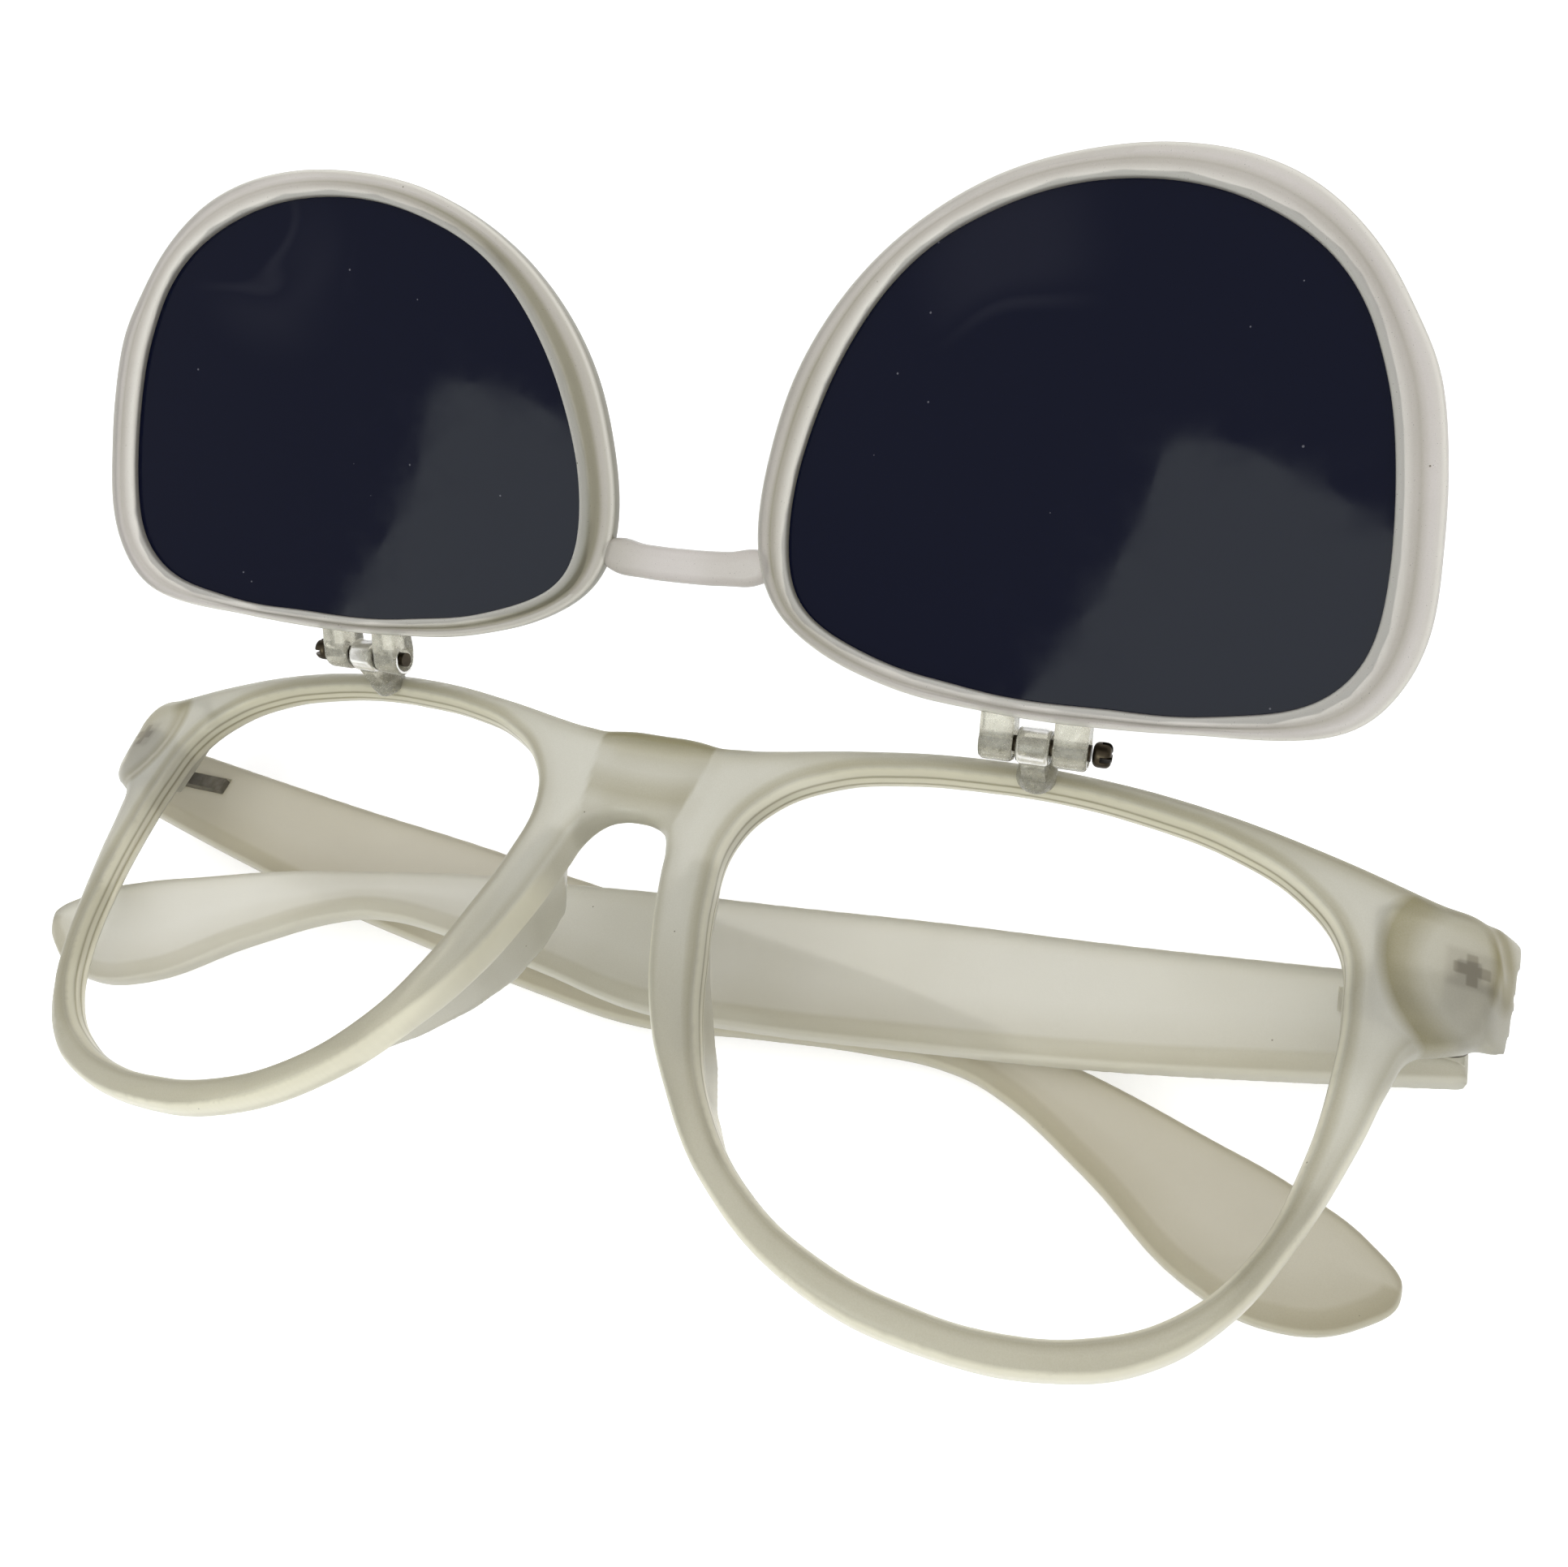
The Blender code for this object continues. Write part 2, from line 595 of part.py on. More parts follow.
def tinted_plate(margin, thickness):
    half = FLIP_OPENING_HALF + Vector((margin, margin))
    return cant(outline_solid([smooth_loop(FLIP_OPENING_SHARES, half)], thickness))


def bar_notch():
    """The slot in the rim's nose side that takes the end of the bar."""
    half_height = BAR_HEIGHT / 2 + SEAT_GAP
    half_thickness = BAR_THICKNESS / 2 + SEAT_GAP
    y = FLIP_CENTRE.y + BAR_LEVEL
    z = FLIP_CENTRE.z + BAR_LIFT
    return box(
        (0, y - half_height, z - half_thickness),
        (BAR_HALF_LENGTH + SEAT_GAP, y + half_height, z + half_thickness + OVERRUN),
    )


def make_flip_rims(material, parent):
    edge = smooth_loop(FLIP_RIM_SHARES, FLIP_RIM_HALF)
    opening = smooth_loop(FLIP_OPENING_SHARES, FLIP_OPENING_HALF)
    plate = cant(outline_solid([edge, opening], FLIP_THICKNESS, FLIP_ROUNDING))
    groove = tinted_plate(TINTED_SEAT + SEAT_GAP, TINTED_THICKNESS + 2 * SEAT_GAP)
    mesh = combine("flip_rim", plate, cut=(groove, bar_notch()))
    finish_pair("flip_rim", mesh, material, (parent, parent))


def make_tinted_lenses(material, parent):
    finish_pair("tinted_lens", tinted_plate(TINTED_SEAT, TINTED_THICKNESS), material, (parent, parent))


def make_bridge_bar(material, parent):
    """The arched bar between the two flip rims."""
    quarter = []
    for length, arch, height in BAR_SHARES:
        quarter.append((length * BAR_HALF_LENGTH, arch * BAR_ARCH, height * BAR_HEIGHT / 2))
    right_side = [(x, arch + half, False) for x, arch, half in quarter]
    right_side += [(x, arch - half, False) for x, arch, half in quarter[::-1]]
    left_side = [(-x, y, False) for x, y, _ in right_side[::-1] if x > 0]
    mesh = outline_solid([right_side + left_side], BAR_THICKNESS, BAR_ROUNDING)
    mesh.transform(Matrix.Translation((0, FLIP_CENTRE.y + BAR_LEVEL, FLIP_CENTRE.z + BAR_LIFT)))
    finish("flip_bridge_bar", mesh, material, parent)


def across(mesh, x):
    """Turn a plate drawn in Z and Y so that its thickness runs along X, and set it at x."""
    mesh.transform(Matrix.Translation((x, 0, 0)) @ Matrix.Rotation(math.radians(-90), 4, "Y"))
    return mesh


def ear():
    """One ear of the flip rim: a round end about the screw and a neck down to the rim's edge."""
    neck = FLIP_CENTRE.y + FLIP_HINGE_EDGE_SHARE * FLIP_RIM_HALF.y + GAP
    turns = [math.pi * i / 6 for i in range(7)]
    edge = [(KNUCKLE_RADIUS * math.cos(t), KNUCKLE_RADIUS * math.sin(t), False) for t in turns]
    edge += [(-EAR_BACK, neck, True), (EAR_FRONT, neck, True)]
    return outline_solid([edge, circle_loop(FLIP_HOLE_RADIUS)], EAR_WIDTH, EAR_ROUNDING)


def make_ears(material, parent):
    offset = (KNUCKLE_WIDTH + EAR_WIDTH) / 2 + GAP
    for side, x in (("inner", KNUCKLE_X - offset), ("outer", KNUCKLE_X + offset)):
        finish_pair(f"flip_hinge_{side}_ear", across(ear(), x), material, (parent, parent))


def lug():
    """The fixed part of the flip hinge: a knuckle, an arm and a round foot on the front's brow."""
    x = KNUCKLE_X
    slope = math.atan(x / FRONT_RADIUS)
    foot_face = Vector((x, FLIP_AXIS_HEIGHT, -sag(x) + GAP))
    knuckle_middle = Vector((x, FLIP_AXIS_HEIGHT, FLIP_AXIS_AHEAD))
    normal = Vector((math.sin(slope), 0, math.cos(slope)))
    arm_half = Vector((KNUCKLE_WIDTH / 2, KNUCKLE_RADIUS, 0))
    knuckle = outline_solid([circle_loop(KNUCKLE_RADIUS)], KNUCKLE_WIDTH, EAR_ROUNDING)
    across(knuckle, 0)
    knuckle.transform(Matrix.Translation(knuckle_middle))
    arm_back = foot_face + Vector((0, 0, FOOT_THICKNESS / 2))
    arm = box(arm_back - arm_half * math.cos(slope), knuckle_middle + arm_half * math.cos(slope))
    foot = rod(FOOT_RADIUS, foot_face, foot_face + normal * FOOT_THICKNESS)
    side = Vector((KNUCKLE_WIDTH / 2 + OVERRUN, 0, 0))
    hole = rod(FLIP_HOLE_RADIUS, knuckle_middle - side, knuckle_middle + side)
    return combine("lug", knuckle, joined=(arm, foot), cut=(hole,))


def flip_screw():
    """The hinge screw with its crossed slots at the outer end."""
    span = KNUCKLE_WIDTH / 2 + GAP + EAR_WIDTH
    head_start = KNUCKLE_X + span + GAP
    head_end = head_start + FLIP_HEAD_LENGTH
    shaft = rod(FLIP_SCREW_RADIUS, (KNUCKLE_X - span, 0, 0), (head_end - SLOT_DEPTH, 0, 0))
    head = rod(FLIP_HEAD_RADIUS, (head_start, 0, 0), (head_end, 0, 0))
    half = SLOT_WIDTH / 2
    reach = FLIP_HEAD_RADIUS + OVERRUN
    start = head_end - SLOT_DEPTH
    end = head_end + OVERRUN
    slots = (box((start, -half, -reach), (end, half, reach)), box((start, -reach, -half), (end, reach, half)))
    return combine("flip_screw", shaft, joined=(head,), cut=slots)


def new_empty(name, parent, place, axis=None, angle=0.0):
    made = add_object(name, None, PARTS)
    made.parent = parent
    made.location = place
    if axis is not None:
        made.rotation_euler[axis] = math.radians(angle)
    return made


def rest_on_ground(base):
    """Lift the whole model onto Z = 0 and centre it in Y over the origin."""
    bpy.context.view_layer.update()
    graph = bpy.context.evaluated_depsgraph_get()
    points = []
    for obj in PARTS.objects:
        if obj.type == "MESH":
            shown = obj.evaluated_get(graph)
            points += [shown.matrix_world @ vert.co for vert in shown.data.vertices]
    heights = [point.z for point in points]
    depths = [point.y for point in points]
    base.location = (0, -(min(depths) + max(depths)) / 2, -min(heights))


for leftover in list(bpy.data.objects):
    bpy.data.objects.remove(leftover)

PARTS = new_collection("kaleidoscope_glasses")
CUTTERS = new_collection("cutters")

frosted = make_material("frosted_plastic", (0.80, 0.79, 0.72), 0.45, transmission=0.4)
frosted_flip = make_material("frosted_flip_plastic", (0.82, 0.81, 0.80), 0.4, transmission=0.4)
clear_lens = make_material("clear_diffraction_lens", (0.95, 0.96, 0.97), 0.05, transmission=0.95)
tinted_lens = make_material("tinted_lens", (0.010, 0.011, 0.024), 0.08)
clear_plastic = make_material("clear_plastic", (0.85, 0.84, 0.80), 0.2, transmission=0.7)
steel = make_material("hinge_steel", (0.45, 0.44, 0.42), 0.35, 1.0)
dark_steel = make_material("dark_screw_steel", (0.16, 0.14, 0.12), 0.35, 1.0)

base = new_empty("glasses_base", None, (0, 0, 0))
flip = new_empty("flip_axis", base, (0, FLIP_AXIS_HEIGHT, FLIP_AXIS_AHEAD), 0, -FLIP_OPEN_ANGLE)
left_pin = new_empty("left_temple_pin", base, (PIN_X, HINGE_LEVEL, PIN_Z), 1, LEFT_FOLD)
right_pin = new_empty("right_temple_pin", base, (-PIN_X, HINGE_LEVEL, PIN_Z), 1, -RIGHT_FOLD)

make_main_frame(frosted, base)
make_diffraction_lenses(clear_lens, base)
make_temples(frosted, (left_pin, right_pin))
finish_pair("temple_hinge_leaf", temple_leaf(), steel, (left_pin, right_pin))
finish_pair("frame_hinge_leaf", frame_leaf(), steel, (base, base))
finish_pair("temple_hinge_screw", temple_screw(), dark_steel, (base, base))
make_flip_rims(frosted_flip, flip)
make_tinted_lenses(tinted_lens, flip)
make_bridge_bar(frosted_flip, flip)
make_ears(clear_plastic, flip)
finish_pair("flip_hinge_lug", lug(), clear_plastic, (base, base))
finish_pair("flip_hinge_screw", flip_screw(), dark_steel, (flip, flip))
rest_on_ground(base)
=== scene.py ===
"""Looks of the kaleidoscope glasses: frosted mouldings, clear and tinted lenses, hinges and light."""

import bisect
import math

import bpy
from mathutils import Matrix, Vector
from mathutils.kdtree import KDTree


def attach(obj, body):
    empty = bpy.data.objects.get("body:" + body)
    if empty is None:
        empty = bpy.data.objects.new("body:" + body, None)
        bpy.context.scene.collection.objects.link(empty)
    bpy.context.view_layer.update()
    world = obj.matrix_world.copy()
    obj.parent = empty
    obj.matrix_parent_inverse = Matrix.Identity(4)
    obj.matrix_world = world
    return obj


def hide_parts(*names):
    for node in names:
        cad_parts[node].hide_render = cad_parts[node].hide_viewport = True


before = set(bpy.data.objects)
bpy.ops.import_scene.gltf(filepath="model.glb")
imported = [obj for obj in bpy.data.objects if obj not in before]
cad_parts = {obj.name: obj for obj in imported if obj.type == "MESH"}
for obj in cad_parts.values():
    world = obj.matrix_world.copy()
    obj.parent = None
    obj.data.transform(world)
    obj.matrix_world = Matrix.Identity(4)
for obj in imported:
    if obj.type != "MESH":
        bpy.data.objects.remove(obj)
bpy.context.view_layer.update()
scene = bpy.context.scene

MM = 0.001
MIRROR = Matrix.Scale(-1, 4, (1, 0, 0))

# How finely the meshes are made
WELD = 0.002 * MM
SLIVER = 0.004 * MM
SKIN_GRAIN = 0.33 * MM
BAR_GRAIN = 0.15 * MM

# The camera that the photograph was taken with
CAMERA_PLACE = Vector((49.63454, -50.00828, 107.88107)) * MM
CAMERA_TURN = Matrix((
    (0.927510, -0.147033, 0.343666),
    (0.309884, 0.816600, -0.486966),
    (-0.209037, 0.558162, 0.802968),
))
CAMERA_LENS = 27.95
SENSOR_WIDTH = 36.0
NEAREST_SEEN = 0.005

# Main frame, measured from the front surface at the middle of the bridge
FRONT_MIDDLE = Vector((0.0, -12.566, 22.822)) * MM
FRONT_RADIUS = 248.0 * MM
FRONT_THICKNESS = 4.1 * MM
FRONT_ROUNDING = 1.3 * MM
BRIDGE_HALF = 9.9 * MM
OPENING_HALF = Vector((25.1, 21.6)) * MM
RIM_HALF = Vector((28.6, 24.3)) * MM
LENS_CENTRE = Vector((35.0, -1.8)) * MM
LENS_THICKNESS = 0.9 * MM
LENS_SEAT = Vector((1.0, 1.0)) * MM
LENS_CUTS = [i * 2.6 * MM for i in range(3, 24)]
BRIDGE_TOP = 17.8 * MM
BRIDGE_TOP_HALF = 6.1 * MM
BRIDGE_CORNER_DROP = 0.4 * MM
BRIDGE_LOW = 5.5 * MM
BRIDGE_LOW_HALF = 4.5 * MM
ARCH_HALF = 4.9 * MM
ARCH_TOP = 9.3 * MM
ARCH_RISE = 5.4 * MM
PAD_DEPTH = 10.5 * MM
PAD_WALL = 1.6 * MM
PAD_ROUNDING = 0.6 * MM
BROW_ROLL_WIDTH = 3.0 * MM
BROW_ROLL_DEPTH = 0.45 * MM
BROW_ROLL_START = 4.0 * MM
BROW_LOWEST = BRIDGE_TOP - 3.0 * MM
SADDLE_DEPTH = 1.0 * MM
SADDLE_BELOW = 2.0 * MM
SADDLE_FADE = (0.4 * MM, 3.2 * MM)
SADDLE_SIDE = 0.35 * MM
FRONT_FADE = (0.7 * MM, 3.4 * MM)

# End pieces
END_LENGTH = 7.6 * MM
END_DEPTH = 13.6 * MM
END_FLARE = 2.2 * MM
END_HEIGHT = 10.6 * MM
END_LEVEL = 13.1 * MM
END_LEAN = 1.3 * MM
END_INNER_LENGTH = 9.0 * MM
END_FRONT_LENGTH = 2.5 * MM
END_SKIN = 0.6 * MM
END_ROUNDING = 0.8 * MM
DISC_PLACE = Vector((71.2, 12.7)) * MM
DISC_RADIUS = 8.6 * MM
DISC_SLOPE = (DISC_RADIUS - 1.4 * MM, DISC_RADIUS + 0.4 * MM)
DISC_STEP = 0.3 * MM
DISC_FADE = (1.5 * MM, 3.5 * MM)
RIVET_PLACE = Vector((68.8, 13.1)) * MM

# Temples, measured from their pins
PIN_PLACE = Vector((68.65, 11.7, -15.8)) * MM
TEMPLE_LENGTH = 137.9 * MM
TEMPLE_DROP = 21.1 * MM
BUTT_HALF = 4.3 * MM
BUTT_THICKNESS = 3.8 * MM
BUTT_AHEAD = 1.9 * MM
PADDLE_THICKNESS = 2.5 * MM
TAPER_LENGTH = 100.0 * MM
INNER_FACE = 0.75 * MM
INNER_FADE = (-0.4 * MM, 1.2 * MM)
TEMPLE_ROUNDING = 0.8 * MM
LEAST_HEIGHT = 5.0 * MM
LEFT_FOLD = 91.9
RIGHT_FOLD = 88.4
CHAMFER_WIDTH = 1.7 * MM
CHAMFER_DEPTH = 0.8 * MM
HINGE_ROOM = 1.55 * MM
BARREL_ROOM = (-3.2 * MM, 3.4 * MM)
BARREL_AHEAD = BUTT_AHEAD + 1.0 * MM
LEAF_HALF = 1.1 * MM
LEAF_LENGTH = 8.3 * MM

# Flip-up front, measured closed over the main frame
FLIP_AXIS = Vector((0.0, 7.834, 24.672)) * MM
FLIP_OPEN = 135.0
FLIP_CENTRE = Vector((33.86, -22.36, -1.6)) * MM
FLIP_CANT = 8.73
FLIP_MIDPLANE = -0.4 * MM
FLIP_OPENING_HALF = Vector((23.9, 20.1)) * MM
FLIP_RIM_HALF = Vector((27.1, 22.3)) * MM
FLIP_STATIONS = 300
FLIP_EASING = 12
FLIP_DIRECTION = (0.0, -0.70711, 0.70711)

# Flip hinges, measured from their axis, and the bar between the flip rims
KNUCKLE_RADIUS = 1.6 * MM
KNUCKLE_WIDTH = 2.7 * MM
EAR_WIDTH = 2.8 * MM
EAR_BACK = 2.0 * MM
EAR_FRONT = 0.9 * MM
EAR_FOOT = -3.2 * MM
HINGE_GAP = 0.3 * MM
HINGE_ROUNDING = 0.4 * MM
EAR_OFFSET = (KNUCKLE_WIDTH + EAR_WIDTH) / 2 + HINGE_GAP
BORE_RADIUS = 1.0 * MM
FOOT_RADIUS = 1.7 * MM
FOOT_THICKNESS = 1.6 * MM
FOOT_ROUNDING = 0.3 * MM
FOOT_LIFT = 0.1 * MM
ARM_HALF_WIDTH = KNUCKLE_WIDTH / 2 - 0.35 * MM
ARM_HALF_HEIGHT = KNUCKLE_RADIUS - 0.3 * MM
SCREW_RADIUS = 0.7 * MM
HEAD_RADIUS = 1.07 * MM
HEAD_LENGTH = 1.5 * MM
HEAD_ROUNDING = 0.5 * MM
SLOT_WIDTH = 0.45 * MM
SLOT_DEPTH = 0.85 * MM
SLOT_TURN = 60.0
BAR_HALF_LENGTH = 8.37 * MM
BAR_HALF_HEIGHT = 1.55 * MM
BAR_THICKNESS = 2.4 * MM
BAR_ROUNDING = 0.9 * MM
BAR_ARCH = 0.55 * MM
BAR_PLACE = Vector((0.0, -12.26, 2.48)) * MM

# Outlines as shares of a half width and a half height, in turn round each edge
OPENING_SHARES = (
    (0.98, 0.20), (0.99, 0.43), (0.965, 0.66), (0.84, 0.825), (0.61, 0.94), (0.32, 0.99),
    (0.04, 1.0), (-0.23, 0.975), (-0.485, 0.93), (-0.73, 0.84), (-0.915, 0.68), (-1.0, 0.47),
    (-0.99, 0.22), (-0.94, -0.04), (-0.87, -0.31), (-0.75, -0.58), (-0.55, -0.81), (-0.29, -0.95),
    (-0.02, -1.0), (0.22, -0.99), (0.44, -0.92), (0.64, -0.78), (0.81, -0.53), (0.915, -0.205),
)
BROW_SHARES = (
    (-0.815, 0.835), (-0.605, 0.889), (-0.238, 0.963), (0.136, 0.988), (0.476, 0.971), (0.815, 0.914),
)
RIM_SHARES = (
    (1.0, 0.152), (0.944, -0.045), (0.815, -0.407), (0.685, -0.667), (0.528, -0.848),
    (0.339, -0.951), (0.035, -1.0), (-0.308, -0.942), (-0.612, -0.737), (-0.804, -0.481),
    (-0.918, -0.267), (-1.003, -0.004), (-1.052, 0.235),
)
END_SHARES = (
    (0.36, 0.848), (0.855, 0.82), (1.0, 0.74), (0.965, 0.514), (0.81, 0.395), (0.507, 0.337),
    (0.217, 0.292),
)
ARCH_SHARES = ((0.9, 0.556), (0.63, 0.167), (0.36, 0.037))
# Nose pad: height in half openings, front, back and lens side in half bridges, depth in pad depths
PAD_SHARES = (
    (0.431, 0.475, 0.81, 0.94, 0.42),
    (0.315, 0.545, 0.75, 0.96, 0.74),
    (0.176, 0.606, 0.69, 0.99, 0.90),
    (0.014, 0.697, 0.78, 1.06, 0.97),
    (-0.148, 0.818, 0.93, 1.16, 1.0),
    (-0.333, 1.0, 1.17, 1.29, 0.93),
    (-0.519, 1.27, 1.42, 1.485, 0.75),
    (-0.70, 1.59, 1.73, 1.85, 0.52),
)
# Temple: share of the length, of the drop and of the butt's half height
TEMPLE_SHARES = (
    (0.0, 0.0, 1.0), (0.106, 0.114, 1.175), (0.212, 0.218, 1.32), (0.317, 0.299, 1.415),
    (0.423, 0.382, 1.45), (0.508, 0.429, 1.40), (0.592, 0.427, 1.055), (0.67, 0.431, 0.767),
    (0.726, 0.462, 0.588), (0.758, 0.51, 0.61), (0.822, 0.675, 0.97), (0.888, 0.891, 1.39),
    (0.938, 0.979, 1.307), (0.983, 1.0, 0.695),
)
FLIP_RIM_SHARES = (
    (0.21, -1.0), (0.39, -0.956), (0.556, -0.865), (0.68, -0.742), (0.767, -0.62), (0.839, -0.48),
    (0.903, -0.349), (0.96, -0.087), (0.989, 0.2), (1.0, 0.393), (0.989, 0.524), (0.943, 0.668),
    (0.86, 0.786), (0.735, 0.825), (0.473, 0.856), (0.165, 0.886), (-0.161, 0.886), (-0.484, 0.847),
    (-0.735, 0.751), (-0.907, 0.611), (-0.982, 0.415), (-0.989, 0.218), (-0.96, 0.0),
    (-0.896, -0.262), (-0.789, -0.489), (-0.663, -0.664), (-0.48, -0.83), (-0.287, -0.939),
    (-0.029, -1.0),
)
FLIP_OPENING_SHARES = (
    (0.963, -0.063), (0.923, -0.271), (0.874, -0.425), (0.829, -0.541), (0.715, -0.715),
    (0.459, -0.908), (0.077, -1.0), (-0.305, -0.923), (-0.549, -0.778), (-0.646, -0.676),
    (-0.801, -0.425), (-0.919, -0.106), (-0.984, 0.251), (-0.972, 0.512), (-0.919, 0.647),
    (-0.821, 0.729), (-0.614, 0.821), (-0.252, 0.894), (0.199, 0.903), (0.602, 0.865),
    (0.858, 0.783), (0.976, 0.618), (1.0, 0.343), (0.988, 0.145),
)
# Flip rim's section: share of its width, distance on from there, height, painted edge shade and painted highlight
FLIP_SECTION = (
    (0, 0.0, 0.9, 0.8, 0.0), (0, 0.0, -0.3, 0.9, 0.0), (0, 0.0, -0.95, 0.3, 0.4),
    (0, 0.09, -1.16, 0.0, 1.0), (0, 0.3, -1.25, 0.1, 0.6), (0.36, 0.0, -1.25, 0.3, 0.0),
    (0.44, 0.0, -1.19, 0.35, 0.0), (0.5, 0.0, -1.04, 0.5, 0.0), (0.57, 0.0, -0.92, 0.3, 0.0),
    (0.68, 0.0, -0.83, 0.05, 0.0), (1, -0.75, -0.8, 0.0, 0.0), (1, -0.4, -0.78, 0.1, 0.3),
    (1, -0.15, -0.66, 0.0, 1.0), (1, -0.03, -0.48, 0.2, 0.5), (1, 0.0, -0.2, 0.7, 0.0),
    (1, 0.0, 0.7, 0.6, 0.0), (1, -0.07, 1.05, 0.4, 0.0), (1, -0.3, 1.2, 0.3, 0.0),
    (1, -0.6, 1.25, 0.1, 0.0), (0, 0.35, 1.25, 0.1, 0.0), (0, 0.1, 1.17, 0.1, 0.0),
)
# Bar: share of the half length, of the arch and of the half height
BAR_SHARES = ((0.0, 1.0, 1.0), (0.5, 0.8, 1.0), (0.9, 0.1, 0.95), (1.0, 0.0, 0.5))

# Painted shade bands in the front: a place in millimetres and a strength
BROW_BAND = ((0, 1.0), (0.5, 1.0), (1.0, 0.55), (1.5, 0.2), (2.2, 0.0))
BROW_SPAN = (42.0 * MM, 66.0 * MM)
BROW_NARROWING = (1.45, 0.85)
RIM_BAND = ((0, 0.1), (0.35, 0.1), (0.7, 0.35), (1.3, 0.1), (2.0, 0.0))
# How much darker the rims grow towards the bottom
LOW_RIM_TINT = 0.42
GROOVE_BAND = ((0, 0.1), (0.3, 0.2), (0.6, 0.55), (0.95, 0.45), (1.4, 0.1), (2.3, 0.0))
RING_BAND = ((0, 0.45), (5.8, 0.3), (7.4, 0.75), (8.7, 0.9), (9.8, 0.0))
SADDLE_BAND = ((0, 0.4), (9.6, 0.3), (11.0, 0.6), (12.2, 0.5), (13.6, 0.2), (15.4, 0.3), (16.8, 1.0))
WALL_LINES = ((1.2, 0.0), (1.5, 0.9), (1.8, 0.15), (2.3, 0.1), (2.6, 1.0), (2.9, 0.0))
# Painted highlights on the thin edges of the front, in the same way
EDGE_LIGHT = ((0, 1.0), (0.25, 0.9), (0.5, 0.0))
LIP_LIGHT = ((0, 0.9), (0.2, 0.9), (0.4, 0.0))
# The same for the temples: painted shade bands and painted highlights
TEMPLE_BAND = ((0, 0.5), (0.5, 0.6), (1.5, 0.5), (1.9, 0.2), (3.2, 0.12), (5.0, 0.0))
TEMPLE_LINE = ((0, 0.5), (0.3, 0.45), (0.9, 0.1), (2.0, 0.0))
TEMPLE_LIGHT = ((0, 0.6), (0.2, 0.5), (0.4, 0.0))
# Where bands come in or fade away, in millimetres
BROW_RISE = (9, 12.5)
LOW_RIM_FADE = (4, -16)
LINES_FADE = (0.7, 0.3)
DEPTH_FADE = (5.5, 3.5)
EDGE_LIGHT_FADE = (3, -1)
FLIP_SIDES = (((24, 10), (0, 4)), ((-46, -12), (-2, -8)))

# Finishes
FROST_CLEARNESS = 0.5
FROST_IOR = 1.42
DARK_TINT = (0.002, 0.003, 0.0125, 1)
WIPE_PLACES = (Vector((28, 35, 51)) * MM, Vector((-42, 32, 52)) * MM)

# Floor, lamp and the window beside the camera, its outline drawn in millimetres from its middle
FLOOR_SIZE = 3.0
FLOOR_GLOW = 0.45
LAMP_PLACE = Vector((0.15, 0.35, 0.8))
LAMP_TARGET = Vector((0.0, 0.0, 0.02))
LAMP_SIZE = 0.9
LAMP_POWER = 0.4
WINDOW_PLACE = Vector((-240.0, -1044.0, 711.0)) * MM
WINDOW_ACROSS = Vector((0.913, -0.406, 0.034))
WINDOW_COLOUR = (0.94, 1.0, 0.96, 1)
WINDOW_GLOW = 4.3
WINDOW_EDGE = (
    (-300, 324), (-312, 306), (-303, 225), (-313, 140), (-340, 30), (-372, -100), (-400, -315), (315, -315),
    (315, 190), (-60, 296), (-150, 320), (-215, 331), (-264, 331),
)


def only(*pieces):
    """Selects these objects alone and makes the first of them the active one."""
    bpy.ops.object.select_all(action="DESELECT")
    for piece in pieces:
        piece.select_set(True)
    bpy.context.view_layer.objects.active = pieces[0]


def joined(*pieces):
    only(*pieces)
    bpy.ops.object.join()
    return pieces[0]


def modify(piece, kind, **settings):
    """Gives a piece one modifier and applies it."""
    only(piece)
    modifier = piece.modifiers.new(kind.lower(), kind)
    for name, value in settings.items():
        setattr(modifier, name, value)
    bpy.ops.object.modifier_apply(modifier=modifier.name)


def smooth_by_angle(piece, angle):
    only(piece)
    bpy.ops.object.shade_smooth_by_angle(angle=math.radians(angle))


def named(piece, name):
    piece.name = piece.data.name = name
    return piece


def close_mesh(piece, slivers=False):
    """Joins the loose caps to their walls, clears slivers and turns every face outwards."""
    only(piece)
    bpy.ops.object.mode_set(mode="EDIT")
    bpy.ops.mesh.select_all(action="SELECT")
    bpy.ops.mesh.remove_doubles(threshold=WELD)
    if slivers:
        bpy.ops.mesh.dissolve_degenerate(threshold=SLIVER)
        bpy.ops.mesh.select_all(action="SELECT")
    bpy.ops.mesh.normals_make_consistent(inside=False)
    bpy.ops.object.mode_set(mode="OBJECT")


def drawn_plate(name, loops, thickness, rounding=0.0, fineness=6):
    """A flat plate about Z = 0, drawn as closed curves. The first loop is its edge, the others are holes."""
    bpy.ops.curve.primitive_bezier_circle_add(radius=thickness)
    curve = bpy.context.object
    data = curve.data
    data.dimensions = "2D"
    data.fill_mode = "BOTH"
    data.resolution_u = fineness
    data.extrude = thickness / 2 - rounding
    data.bevel_depth = rounding
    data.bevel_resolution = 3
    data.offset = -rounding
    data.splines.clear()
    for loop in loops:
        spline = data.splines.new("BEZIER")
        spline.bezier_points.add(len(loop) - 1)
        spline.use_cyclic_u = True
        for point, (x, y, corner) in zip(spline.bezier_points, loop):
            point.co = (x, y, 0)
            point.handle_left_type = point.handle_right_type = "VECTOR" if corner else "AUTO"
    only(curve)
    bpy.ops.object.convert(target="MESH")
    piece = named(bpy.context.object, name)
    close_mesh(piece)
    return piece


def mould(piece, grain, rounds):
    """Runs overlapping shells together into one skin, with every edge softly rounded."""
    modify(piece, "REMESH", mode="VOXEL", voxel_size=grain)
    modify(piece, "SMOOTH", iterations=rounds)
    bpy.ops.object.shade_smooth()


